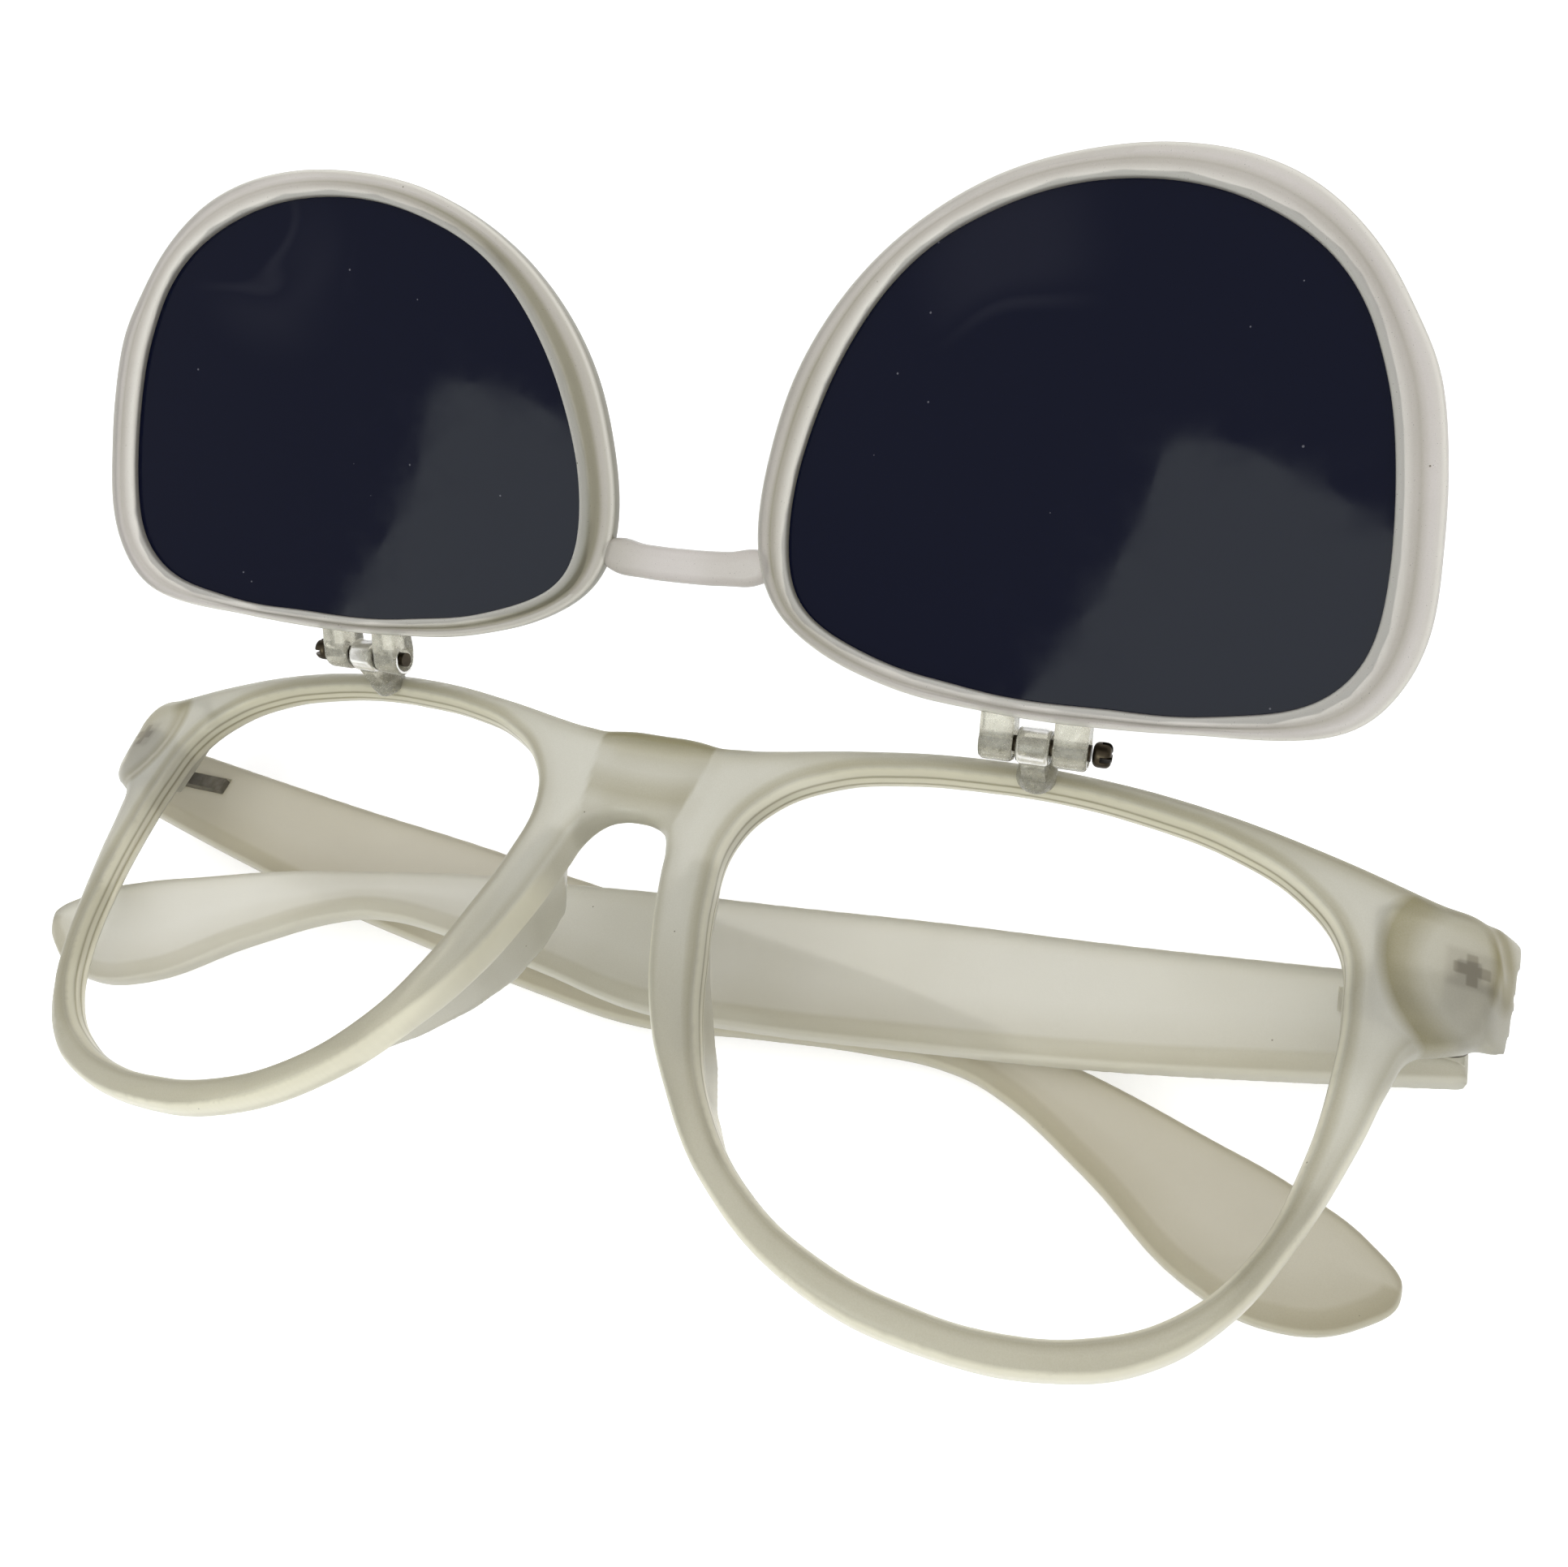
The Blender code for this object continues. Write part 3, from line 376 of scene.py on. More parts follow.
def other_hand(piece, name):
    """The mirror image across the middle, with its faces turned outwards again."""
    only(piece)
    bpy.ops.object.duplicate()
    twin = named(bpy.context.object, name)
    twin.data.transform(MIRROR)
    twin.data.flip_normals()
    return twin


def moved(place):
    return Matrix.Translation(place)


def turned(degrees, axis):
    return Matrix.Rotation(math.radians(degrees), 4, axis)


def ramp(value, low, high):
    """0 below low, 1 above high, and smooth between them."""
    t = min(max((value - low) / (high - low), 0.0), 1.0)
    return t * t * (3 - 2 * t)


def sag(x):
    """How far the curved front falls back at a place across it."""
    return x * x / (2 * FRONT_RADIUS)


def smooth_loop(shares, half, centre):
    return [(centre[0] + x * half[0], centre[1] + y * half[1], False) for x, y in shares]


def other_side(loop):
    return [(-x, y, corner) for x, y, corner in loop[::-1] if x > 0]


def front_edge():
    """The whole outer edge of the front, with the nose arch."""
    arch = [(x * ARCH_HALF, ARCH_TOP - y * ARCH_RISE, False) for x, y in ARCH_SHARES]
    rim_edge = LENS_CENTRE.x + RIM_HALF.x
    ends = [(rim_edge + x * END_LENGTH, LENS_CENTRE.y + y * RIM_HALF.y, False) for x, y in END_SHARES]
    edge = [(0, BRIDGE_TOP, False), (BRIDGE_TOP_HALF / 2, BRIDGE_TOP, False)]
    edge.append((BRIDGE_TOP_HALF, BRIDGE_TOP - BRIDGE_CORNER_DROP, True))
    edge += smooth_loop(BROW_SHARES, RIM_HALF, LENS_CENTRE) + ends
    edge += smooth_loop(RIM_SHARES, RIM_HALF, LENS_CENTRE) + arch
    edge.append((0, ARCH_TOP, False))
    return edge + other_side(edge)


def nose_pad():
    """A wedge that swells backwards from the rim's nose side, with the front laid flat."""
    bpy.ops.mesh.primitive_circle_add(vertices=4, radius=PAD_WALL)
    pad = bpy.context.object
    places, walls = [], []
    for height, front, back, lens_side, depth in PAD_SHARES:
        y = LENS_CENTRE.y + height * OPENING_HALF.y
        near, far, rim = (share * BRIDGE_HALF for share in (front, back, lens_side))
        tip = -depth * PAD_DEPTH
        outer = far + PAD_WALL * depth * depth
        places += [(near, y, -FRONT_ROUNDING), (far, y, tip + sag(far)), (outer, y, tip + sag(outer))]
        places.append((rim, y, FRONT_ROUNDING - FRONT_THICKNESS))
    for ring in range(len(PAD_SHARES) - 1):
        for i in range(4):
            low = ring * 4
            j = (i + 1) % 4
            walls.append((low + i, low + j, low + 4 + j, low + 4 + i))
    last = len(places) - 4
    walls += [(3, 2, 1, 0), (last, last + 1, last + 2, last + 3)]
    pad.data.clear_geometry()
    pad.data.from_pydata(places, [], walls)
    close_mesh(pad)
    modify(pad, "BEVEL", width=PAD_ROUNDING, segments=3)
    return pad


def end_block():
    """The thick end of the front, with the front laid flat."""
    outer = LENS_CENTRE.x + RIM_HALF.x + END_LENGTH
    inner = outer - END_INNER_LENGTH
    near = outer - END_FRONT_LENGTH
    plan = [
        (inner, -END_DEPTH, True),
        (inner - END_SKIN, -sag(inner) - FRONT_THICKNESS + FRONT_ROUNDING, True),
        (near, -sag(near) - END_SKIN, True),
        (outer, -sag(outer) - END_SKIN, True),
        (outer + END_FLARE, -END_DEPTH, True),
    ]
    block = drawn_plate("end_block", [plan], END_HEIGHT, END_ROUNDING)
    for vert in block.data.vertices:
        below = vert.co.z / END_HEIGHT + 1 / 2
        vert.co.x -= END_LEAN * below * max(vert.co.x - near, 0) / (outer + END_FLARE - near)
    block.data.transform(moved((0, END_LEVEL, 0)) @ turned(90, "X"))
    for vert in block.data.vertices:
        vert.co.z += sag(vert.co.x)
    return block


def brow_line():
    """Points along the front's top edge, from the middle out to the end piece's corner."""
    guide = drawn_plate("brow_guide", [front_edge()], FRONT_THICKNESS, fineness=12)
    places = {(round(v.co.x, 7), v.co.y) for v in guide.data.vertices if v.co.x >= 0 and v.co.y > ARCH_TOP}
    bpy.data.objects.remove(guide)
    line = [(0.0, BRIDGE_TOP)]
    for x, y in sorted(places):
        if x > line[-1][0] and y > BROW_LOWEST:
            line.append((x, y))
    return line


def height_on(line, x):
    """The height of a line of points at one place across it, level beyond its end."""
    x = min(x, line[-1][0])
    i = min(max(bisect.bisect_left(line, (x, 0.0)), 1), len(line) - 1)
    (x0, y0), (x1, y1) = line[i - 1], line[i]
    return y0 + (y1 - y0) * (x - x0) / (x1 - x0)


def edge_tree(loops, fineness=24):
    """A search tree of closely set points along drawn edges."""
    guide = drawn_plate("edge_guide", loops, FRONT_THICKNESS, fineness=fineness)
    places = sorted({(round(vert.co.x, 6), round(vert.co.y, 6), 0.0) for vert in guide.data.vertices})
    bpy.data.objects.remove(guide)
    tree = KDTree(len(places))
    for i, place in enumerate(places):
        tree.insert(place, i)
    tree.balance()
    return tree


def new_values(piece, name, kind="FLOAT"):
    """Room for a value at each point of a piece."""
    return piece.data.attributes.new(name, kind, "POINT").data


def note_places(piece, edges):
    """Notes where each point lies on the flat piece, and how far in it is from the drawn edges."""
    places = new_values(piece, "flat_place", "FLOAT_VECTOR")
    for vert in piece.data.vertices:
        places[vert.index].vector = (abs(vert.co.x), vert.co.y, -vert.co.z)
    for name, tree in edges.items():
        inward = new_values(piece, name)
        for vert in piece.data.vertices:
            inward[vert.index].value = tree.find((vert.co.x, vert.co.y, 0))[2]


def shape_front(piece, line):
    """Rolls the brow's top edge over, sinks the saddle and the ends' round step, evens the ends' backs."""
    saddle = new_values(piece, "saddle")
    for vert in piece.data.vertices:
        x = abs(vert.co.x)
        y = vert.co.y
        front = 1 - ramp(-vert.co.z, *FRONT_FADE)
        top = height_on(line, x)
        near_top = min(max(1 - (top - y) / BROW_ROLL_WIDTH, 0), 1) * (y > 0)
        aside = ramp(x, BRIDGE_TOP_HALF, BRIDGE_TOP_HALF + BROW_ROLL_START)
        drop = BROW_ROLL_DEPTH * near_top ** 2 * aside
        share = (y - BRIDGE_LOW) / (BRIDGE_TOP - BRIDGE_LOW)
        edge = BRIDGE_LOW_HALF + share * (BRIDGE_TOP_HALF - BRIDGE_LOW_HALF)
        if x < edge and y > BRIDGE_LOW - SADDLE_BELOW:
            drop += SADDLE_DEPTH * (1 - (x / edge) ** 2) * ramp(top - y, *SADDLE_FADE)
            saddle[vert.index].value = ramp(edge - x, 0, SADDLE_SIDE)
        reach = math.hypot(x - DISC_PLACE.x, y - DISC_PLACE.y)
        drop += DISC_STEP * (1 - ramp(reach, *DISC_SLOPE)) * ramp(top - y, *DISC_FADE)
        vert.co.z = max(vert.co.z - front * drop, sag(x) - END_DEPTH)


def make_front():
    """The frosted front: plate, nose pads and end blocks in one moulding, bent to its curve."""
    opening = smooth_loop(OPENING_SHARES, OPENING_HALF, LENS_CENTRE)
    openings = [opening, other_side(opening)]
    plate = drawn_plate("front_moulding", [front_edge()] + openings, FRONT_THICKNESS, FRONT_ROUNDING)
    plate.data.transform(moved((0, 0, -FRONT_THICKNESS / 2)))
    shells = [plate]
    for shell in (nose_pad(), end_block()):
        shells += [shell, other_hand(shell, "twin")]
    front = joined(*shells)
    mould(front, SKIN_GRAIN, 7)
    note_places(front, {"from_opening": edge_tree(openings), "from_edge": edge_tree([front_edge()])})
    shape_front(front, brow_line())
    modify(front, "SMOOTH", iterations=3)
    for vert in front.data.vertices:
        vert.co.z -= sag(vert.co.x)
    front.data.transform(moved(FRONT_MIDDLE))
    return front


def make_clear_lens():
    """A diffraction lens bent to the front's curve."""
    shares = smooth_loop(OPENING_SHARES, OPENING_HALF + LENS_SEAT, LENS_CENTRE)
    lens = drawn_plate("left_diffraction_film", [shares], LENS_THICKNESS)
    only(lens)
    bpy.ops.object.mode_set(mode="EDIT")
    for cut in LENS_CUTS:
        bpy.ops.mesh.select_all(action="SELECT")
        bpy.ops.mesh.bisect(plane_co=(cut, 0, 0), plane_no=(1, 0, 0))
    bpy.ops.object.mode_set(mode="OBJECT")
    for vert in lens.data.vertices:
        vert.co.z -= sag(vert.co.x) + FRONT_THICKNESS / 2
    lens.data.transform(moved(FRONT_MIDDLE))
    smooth_by_angle(lens, 30)
    return lens


def temple_edge(length, sign):
    """The temple's upper or lower edge at a share of its length."""
    for near, far in zip(TEMPLE_SHARES, TEMPLE_SHARES[1:]):
        if length <= far[0]:
            t = (length - near[0]) / (far[0] - near[0])
            drop = near[1] + t * (far[1] - near[1])
            height = near[2] + t * (far[2] - near[2])
            return -drop * TEMPLE_DROP + sign * height * BUTT_HALF
    last, _, height = TEMPLE_SHARES[-1]
    round_end = math.sqrt(max(1 - length, 0) / (1 - last))
    return -TEMPLE_DROP + sign * height * BUTT_HALF * round_end


def box(low, high):
    """A box between two corners."""
    low, high = Vector(low), Vector(high)
    bpy.ops.mesh.primitive_cube_add(size=1, location=(low + high) / 2)
    made = bpy.context.object
    made.scale = high - low
    bpy.ops.object.transform_apply(location=True, rotation=False, scale=True)
    return made


def cut_away(piece, *cutters):
    for cutter in cutters:
        modify(piece, "BOOLEAN", operation="DIFFERENCE", object=cutter)
        bpy.data.objects.remove(cutter)


def make_temple():
    """A temple laid open along X about its pin, tapered and chamfered on its inner face."""
    upper, lower = [], []
    for length, drop, height in TEMPLE_SHARES:
        corner = length == 0
        middle = -drop * TEMPLE_DROP
        upper.append((length * TEMPLE_LENGTH, middle + height * BUTT_HALF, corner))
        lower.append((length * TEMPLE_LENGTH, middle - height * BUTT_HALF, corner))
    tip = [(TEMPLE_LENGTH, -TEMPLE_DROP, False)]
    edge = upper + tip + lower[::-1]
    temple = drawn_plate("left_temple_moulding", [edge], BUTT_THICKNESS, TEMPLE_ROUNDING)
    mould(temple, SKIN_GRAIN, 3)
    note_places(temple, {"from_edge": edge_tree([edge], 96)})
    upward = new_values(temple, "upward")
    for vert in temple.data.vertices:
        x, y, z = vert.co
        low, high = (temple_edge(x / TEMPLE_LENGTH, sign) for sign in (-1, 1))
        upward[vert.index].value = 0.5 + (y - (low + high) / 2) / max(high - low, LEAST_HEIGHT)
        nearest = min(y - low, x)
        z += ramp(-z, *INNER_FADE) * CHAMFER_DEPTH * ramp(CHAMFER_WIDTH - nearest, 0, CHAMFER_WIDTH)
        thin = 1 + min(x / TAPER_LENGTH, 1) * (PADDLE_THICKNESS / BUTT_THICKNESS - 1)
        vert.co.z = INNER_FACE + (z + BUTT_THICKNESS / 2) * thin
    temple.data.transform(moved((0, 0, BUTT_AHEAD)) @ turned(90, "Y"))
    barrels = box((0, BARREL_ROOM[0], -HINGE_ROOM), (HINGE_ROOM, BARREL_ROOM[1], BARREL_AHEAD))
    leaf = box((0, -LEAF_HALF, -LEAF_LENGTH), (HINGE_ROOM, LEAF_HALF, 0))
    cut_away(temple, barrels, leaf)
    modify(temple, "TRIANGULATE", min_vertices=5)
    close_mesh(temple, slivers=True)
    smooth_by_angle(temple, 40)
    return temple


def folded(fold):
    """From the open left temple to its place when folded by so many degrees."""
    return moved(FRONT_MIDDLE + PIN_PLACE) @ turned(fold, "Y")


def raised():
    """From the closed flip front to the raised one."""
    return moved(FLIP_AXIS) @ turned(-FLIP_OPEN, "X")


def flip_place():
    """From a flat flip piece to its place on the raised front."""
    cant = moved(FLIP_CENTRE) @ turned(FLIP_CANT, "Y")
    return raised() @ cant @ moved((0, 0, FLIP_MIDPLANE))


def reaches(shares, half):
    """How far a drawn outline lies from its middle at even turns, eased between its points."""
    spokes = sorted((math.atan2(y * half.y, x * half.x), math.hypot(x * half.x, y * half.y)) for x, y in shares)
    before = [(turn - math.tau, reach) for turn, reach in spokes[-2:]]
    after = [(turn + math.tau, reach) for turn, reach in spokes[:2]]
    spokes = before + spokes + after
    found = []
    k = 1
    for i in range(FLIP_STATIONS):
        turn = -math.pi + math.tau * i / FLIP_STATIONS
        while spokes[k + 1][0] <= turn:
            k += 1
        (t0, r0), (t1, r1), (t2, r2), (t3, r3) = spokes[k - 1:k + 3]
        t = (turn - t1) / (t2 - t1)
        rise = (r2 - r0) / (t2 - t0) * (t2 - t1)
        fall = (r3 - r1) / (t3 - t1) * (t2 - t1)
        bend = t * t * (3 - 2 * t)
        found.append(r1 + (r2 - r1) * bend + rise * t * (1 - t) ** 2 - fall * t * t * (1 - t))
    for _ in range(FLIP_EASING):
        found = [(found[i - 1] + found[i] + found[(i + 1) % FLIP_STATIONS]) / 3 for i in range(FLIP_STATIONS)]
    return found


def make_flip_rim():
    """A flip rim: a flat outer band and, towards the wearer, a raised ring round the lens."""
    bpy.ops.mesh.primitive_circle_add(vertices=FLIP_STATIONS, radius=FLIP_RIM_HALF.x)
    rim = named(bpy.context.object, "left_flip_rim_moulding")
    inner = reaches(FLIP_OPENING_SHARES, FLIP_OPENING_HALF)
    outer = reaches(FLIP_RIM_SHARES, FLIP_RIM_HALF)
    places, walls = [], []
    count = len(FLIP_SECTION)
    for i in range(FLIP_STATIONS):
        turn = -math.pi + math.tau * i / FLIP_STATIONS
        width = outer[i] - inner[i]
        after = (i + 1) % FLIP_STATIONS
        for j, (share, onward, height, _, _) in enumerate(FLIP_SECTION):
            reach = inner[i] + share * width + onward * MM
            places.append((reach * math.cos(turn), reach * math.sin(turn), height * MM))
            k = (j + 1) % count
            walls.append((i * count + j, i * count + k, after * count + k, after * count + j))
    rim.data.clear_geometry()
    rim.data.from_pydata(places, [], walls)
    # Painted shade and painted highlight for each point of the section
    for name, column in (("painted_edge_shade", 3), ("painted_edge_highlight", 4)):
        values = new_values(rim, name)
        for i in range(len(places)):
            values[i].value = FLIP_SECTION[i % count][column]
    close_mesh(rim)
    smooth_by_angle(rim, 50)
    rim.data.transform(flip_place())
    return rim


def on_circle(radius, turns):
    return [(radius * math.cos(t), radius * math.sin(t), False) for t in turns]


def round_loop(radius):
    return on_circle(radius, [math.tau * i / 8 for i in range(8)])


def across(piece, x):
    """Turns a plate drawn in Z and Y so that its thickness runs along X, and sets it at x."""
    piece.data.transform(moved((x, 0, 0)) @ turned(-90, "Y"))


def make_ear(name, x):
    """A clear ear of the flip rim: a round end about the screw and a neck down into the rim."""
    edge = on_circle(KNUCKLE_RADIUS, [math.pi * i / 6 for i in range(7)])
    edge += [(-EAR_BACK, EAR_FOOT, True), (EAR_FRONT, EAR_FOOT, True)]
    ear = drawn_plate(name, [edge, round_loop(BORE_RADIUS)], EAR_WIDTH, HINGE_ROUNDING)
    across(ear, x)
    ear.data.transform(raised())
    smooth_by_angle(ear, 35)
    return ear


def make_lug():
    """The fixed knuckle with its arm and the round foot on the brow."""
    x, y = FLIP_CENTRE.x, FLIP_AXIS.y
    loops = [round_loop(KNUCKLE_RADIUS), round_loop(BORE_RADIUS)]
    knuckle = drawn_plate("left_hinge_knuckle", loops, KNUCKLE_WIDTH, HINGE_ROUNDING)
    across(knuckle, x)
    knuckle.data.transform(moved(FLIP_AXIS))
    surface = FRONT_MIDDLE.z - sag(x)
    lean = Matrix.Rotation(math.atan(x / FRONT_RADIUS), 4, "Y")
    foot = drawn_plate("foot", [round_loop(FOOT_RADIUS)], FOOT_THICKNESS, FOOT_ROUNDING)
    foot.data.transform(moved((x, y, surface + FOOT_LIFT)) @ lean)
    arm = box(
        (x - ARM_HALF_WIDTH, y - ARM_HALF_HEIGHT, surface),
        (x + ARM_HALF_WIDTH, y + ARM_HALF_HEIGHT, FLIP_AXIS.z - BORE_RADIUS),
    )
    return joined(knuckle, foot, arm)


def make_flip_screw():
    """The hinge screw, its head domed and crossed by two worn slots."""
    ears_end = KNUCKLE_WIDTH / 2 + HINGE_GAP + EAR_WIDTH
    start = ears_end + HINGE_GAP
    top = start + HEAD_LENGTH
    bpy.ops.mesh.primitive_cylinder_add(vertices=32, radius=SCREW_RADIUS, depth=ears_end + start)
    shaft = bpy.context.object
    bpy.ops.mesh.primitive_cylinder_add(
        vertices=48, radius=HEAD_RADIUS, depth=HEAD_LENGTH, location=(0, 0, (start + top) / 2)
    )
    bpy.ops.object.transform_apply(location=True, rotation=False, scale=False)
    head = bpy.context.object
    modify(head, "BEVEL", width=HEAD_ROUNDING, segments=5)
    half = SLOT_WIDTH / 2
    reach = 2 * HEAD_RADIUS
    for x, y in ((half, reach), (reach, half)):
        cut_away(head, box((-x, -y, top - SLOT_DEPTH), (x, y, top + SLOT_DEPTH)))
    screw = named(joined(head, shaft), "left_hinge_screw")
    place = moved(FLIP_AXIS + Vector((FLIP_CENTRE.x, 0, 0)))
    screw.data.transform(place @ turned(SLOT_TURN, "X") @ turned(90, "Y"))
    smooth_by_angle(screw, 35)
    return screw


def make_bar():
    """The arched bar between the flip rims."""
    upper, lower = (
        [(x * BAR_HALF_LENGTH, y * BAR_ARCH + side * h * BAR_HALF_HEIGHT, False) for x, y, h in BAR_SHARES]
        for side in (1, -1)
    )
    edge = upper + lower[::-1]
    bar = drawn_plate("bridge_bar_moulding", [edge + other_side(edge)], BAR_THICKNESS, BAR_ROUNDING)
    mould(bar, BAR_GRAIN, 3)
    bar.data.transform(raised() @ moved(BAR_PLACE))
    return bar


def srgb(red, green, blue):
    """A colour written as the eye sees it, from 0 to 255."""
    def linear(level):
        level /= 255
        return level / 12.92 if level <= 0.04045 else ((level + 0.055) / 1.055) ** 2.4
    return (linear(red), linear(green), linear(blue), 1.0)


def fill(tree, node, sockets):
    """Gives sockets, by name or number, a constant or the output that is linked to them."""
    for name, value in sockets.items():
        if isinstance(value, bpy.types.NodeSocket):
            tree.links.new(value, node.inputs[name])
        else:
            node.inputs[name].default_value = value


def add(tree, kind, sockets=None, **settings):
    """A new shader node with its settings and sockets."""
    node = tree.nodes.new("ShaderNode" + kind)
    for name, value in settings.items():
        setattr(node, name, value)
    fill(tree, node, sockets or {})
    return node


def new_material(name, sockets):
    """A material, its node tree and its main shader."""
    material = bpy.data.materials.new(name)
    material.use_nodes = True
    tree = material.node_tree
    shader = tree.nodes["Principled BSDF"]
    fill(tree, shader, sockets)
    return material, tree, shader


def show(tree, shader):
    """Makes a shader the one that the surface is seen with."""
    fill(tree, tree.nodes["Material Output"], {"Surface": shader.outputs[0]})


def own_place(tree):
    """The place on the piece in its own coordinates."""
    return add(tree, "TexCoord").outputs["Object"]


def noted(tree, name, output="Fac"):
    """A value that the mesh carries at each point."""
    return add(tree, "Attribute", attribute_name=name).outputs[output]


def combine(tree, operation, *values):
    """One step of arithmetic on masks and numbers."""
    return add(tree, "Math", dict(enumerate(values)), operation=operation).outputs[0]


def times(tree, first, second):
    return combine(tree, "MULTIPLY", first, second)


def strongest(tree, first, *others):
    for other in others:
        first = combine(tree, "MAXIMUM", first, other)
    return first


def distance_from(tree, place, point):
    return add(tree, "VectorMath", {0: place, 1: point}, operation="DISTANCE").outputs["Value"]


def remap(tree, value, given, wanted=(0, 1), way="LINEAR"):
    """Carries a value from the given range into the wanted one and holds it there."""
    (low, high), (start, end) = given, wanted
    sockets = {"Value": value, "From Min": low, "From Max": high, "To Min": start, "To Max": end}
    return add(tree, "MapRange", sockets, interpolation_type=way).outputs["Result"]


def fade(tree, value, low, high):
    """0 below low, 1 above high, and smooth between them. With high under low it runs the other way."""
    return remap(tree, value, (low, high), way="SMOOTHSTEP")


def between(tree, value, low, high):
    """A fade between two places in millimetres."""
    return fade(tree, value, low * MM, high * MM)


def band(tree, value, stops):
    """A soft band drawn across a distance: stops are a place in millimetres and a strength."""
    reach = stops[-1][0]
    shape = add(tree, "ValToRGB", {"Fac": remap(tree, value, (0, reach * MM))})
    points = shape.color_ramp.elements
    while len(points) < len(stops):
        points.new(0.5)
    for point, (place, strength) in zip(points, stops):
        point.position = place / reach
        point.color = (strength, strength, strength, 1)
    return shape.outputs["Color"]


def noise(tree, scale, detail=2, distortion=0):
    sockets = {"Vector": own_place(tree), "Scale": scale, "Detail": detail, "Distortion": distortion}
    return add(tree, "TexNoise", sockets).outputs["Fac"]


def specks(tree, scale, size):
    """Mask of a few scattered specks."""
    dust = add(tree, "TexVoronoi", {"Vector": own_place(tree), "Scale": scale})
    return combine(tree, "LESS_THAN", dust.outputs["Distance"], size)


def blend(tree, mask, under, over):
    """One colour laid over another where the mask is strong."""
    return add(tree, "Mix", {0: mask, 6: under, 7: over}, data_type="RGBA").outputs[2]


def bumped(tree, height, strength, distance):
    sockets = {"Height": height, "Strength": strength, "Distance": distance}
    return add(tree, "Bump", sockets).outputs["Normal"]


def new_group(name, inputs, outputs):
    """An empty node group, what it is given and its output node."""
    group = bpy.data.node_groups.new(name, "ShaderNodeTree")
    for socket, kind in inputs.items():
        group.interface.new_socket(socket, in_out="INPUT", socket_type=kind)
    for socket in outputs:
        group.interface.new_socket(socket, in_out="OUTPUT", socket_type="NodeSocketFloat")
    return group, group.nodes.new("NodeGroupInput").outputs, group.nodes.new("NodeGroupOutput")


def edge_shade_group():
    """Mask of painted shade on the side walls and rounded edges, found from which way the surface faces; it also
    stands for the thick plastic's deeper tint there.
    """
    inputs = {"Face Direction": "NodeSocketVector", "Spread": "NodeSocketFloat", "Cloud Scale": "NodeSocketFloat"}
    group, given, out = new_group("edge_shade", inputs, ["Mask"])
    outward = add(group, "TexCoord").outputs["Normal"]
    facing = add(group, "VectorMath", {0: outward, 1: given["Face Direction"]}, operation="DOT_PRODUCT")
    cloud = combine(group, "MULTIPLY_ADD", noise(group, given["Cloud Scale"], detail=3), 0.35, -0.17)
    flatness = combine(group, "ADD", combine(group, "ABSOLUTE", facing.outputs["Value"]), cloud)
    fill(group, out, {"Mask": fade(group, flatness, 0.97, given["Spread"])})
    return group


def frosted_skin_group():
    """Fine frosted grain, soft moulding waves and a few dark specks in the plastic."""
    inputs = dict.fromkeys(("Grain Scale", "Wave Scale", "Speck Scale", "Speck Size"), "NodeSocketFloat")
    group, given, out = new_group("frosted_skin", inputs, ["Height", "Specks", "Grain"])
    grain = noise(group, given["Grain Scale"], detail=4)
    wave = noise(group, given["Wave Scale"], detail=1)
    fill(group, out, {
        "Height": combine(group, "MULTIPLY_ADD", grain, 0.12, wave),
        "Specks": specks(group, given["Speck Scale"], given["Speck Size"]),
        "Grain": grain,
    })
    return group


EDGE_SHADE = edge_shade_group()
FROSTED_SKIN = frosted_skin_group()


def frosted_skin(tree, grain, wave, speck, speck_size):
    sockets = {"Grain Scale": grain, "Wave Scale": wave, "Speck Scale": speck, "Speck Size": speck_size}
    return add(tree, "Group", sockets, node_tree=FROSTED_SKIN).outputs


def let_light_through(tree, shader, share):
    """Lets a share of the light pass to what lies below, so that the shadow stays pale."""
    shadow = add(tree, "LightPath").outputs["Is Shadow Ray"]
    clear = add(tree, "BsdfTransparent")
    sockets = {"Fac": times(tree, shadow, share), 1: shader.outputs[0], 2: clear.outputs[0]}
    show(tree, add(tree, "MixShader", sockets))


def frosted_plastic(name, face, edge, glow, marks, roughness, direction=(0, 0, 1), spread=0.3):
    """Frosted see-through plastic: pale faces, painted shade in bands and on walls, painted highlights on thin
    edges, and satin grain.
    """
    sockets = {"Roughness": roughness, "Transmission Weight": FROST_CLEARNESS, "IOR": FROST_IOR}
    material, tree, shader = new_material(name, sockets)
    sockets = {"Face Direction": direction, "Spread": spread, "Cloud Scale": 90}
    walls = add(tree, "Group", sockets, node_tree=EDGE_SHADE).outputs["Mask"]
    painted_shade, bright, seen_metal = marks(tree, walls)
    skin = frosted_skin(tree, grain=9000, wave=220, speck=260, speck_size=0.018)
    cloud = combine(tree, "MULTIPLY_ADD", noise(tree, 60), 0.4, -0.26)
    uneven = combine(tree, "MULTIPLY_ADD", skin["Grain"], 0.3, cloud)
    # Painted shade: the edge colour laid on where the shade mask is strong, made uneven at random
    colour = blend(tree, combine(tree, "ADD", painted_shade, uneven), face, edge)
    # Painted highlight: the glow colour laid on the bright thin edges
    colour = blend(tree, bright, colour, glow)
    colour = blend(tree, seen_metal, colour, srgb(122, 114, 96))
    fill(tree, shader, {
        "Base Color": blend(tree, skin["Specks"], colour, srgb(96, 88, 72)),
        "Roughness": remap(tree, skin["Grain"], (0, 1), (roughness - 0.08, roughness + 0.1)),
        "Normal": bumped(tree, skin["Height"], strength=0.35, distance=0.06 * MM),
    })
    let_light_through(tree, shader, share=0.85)
    return material


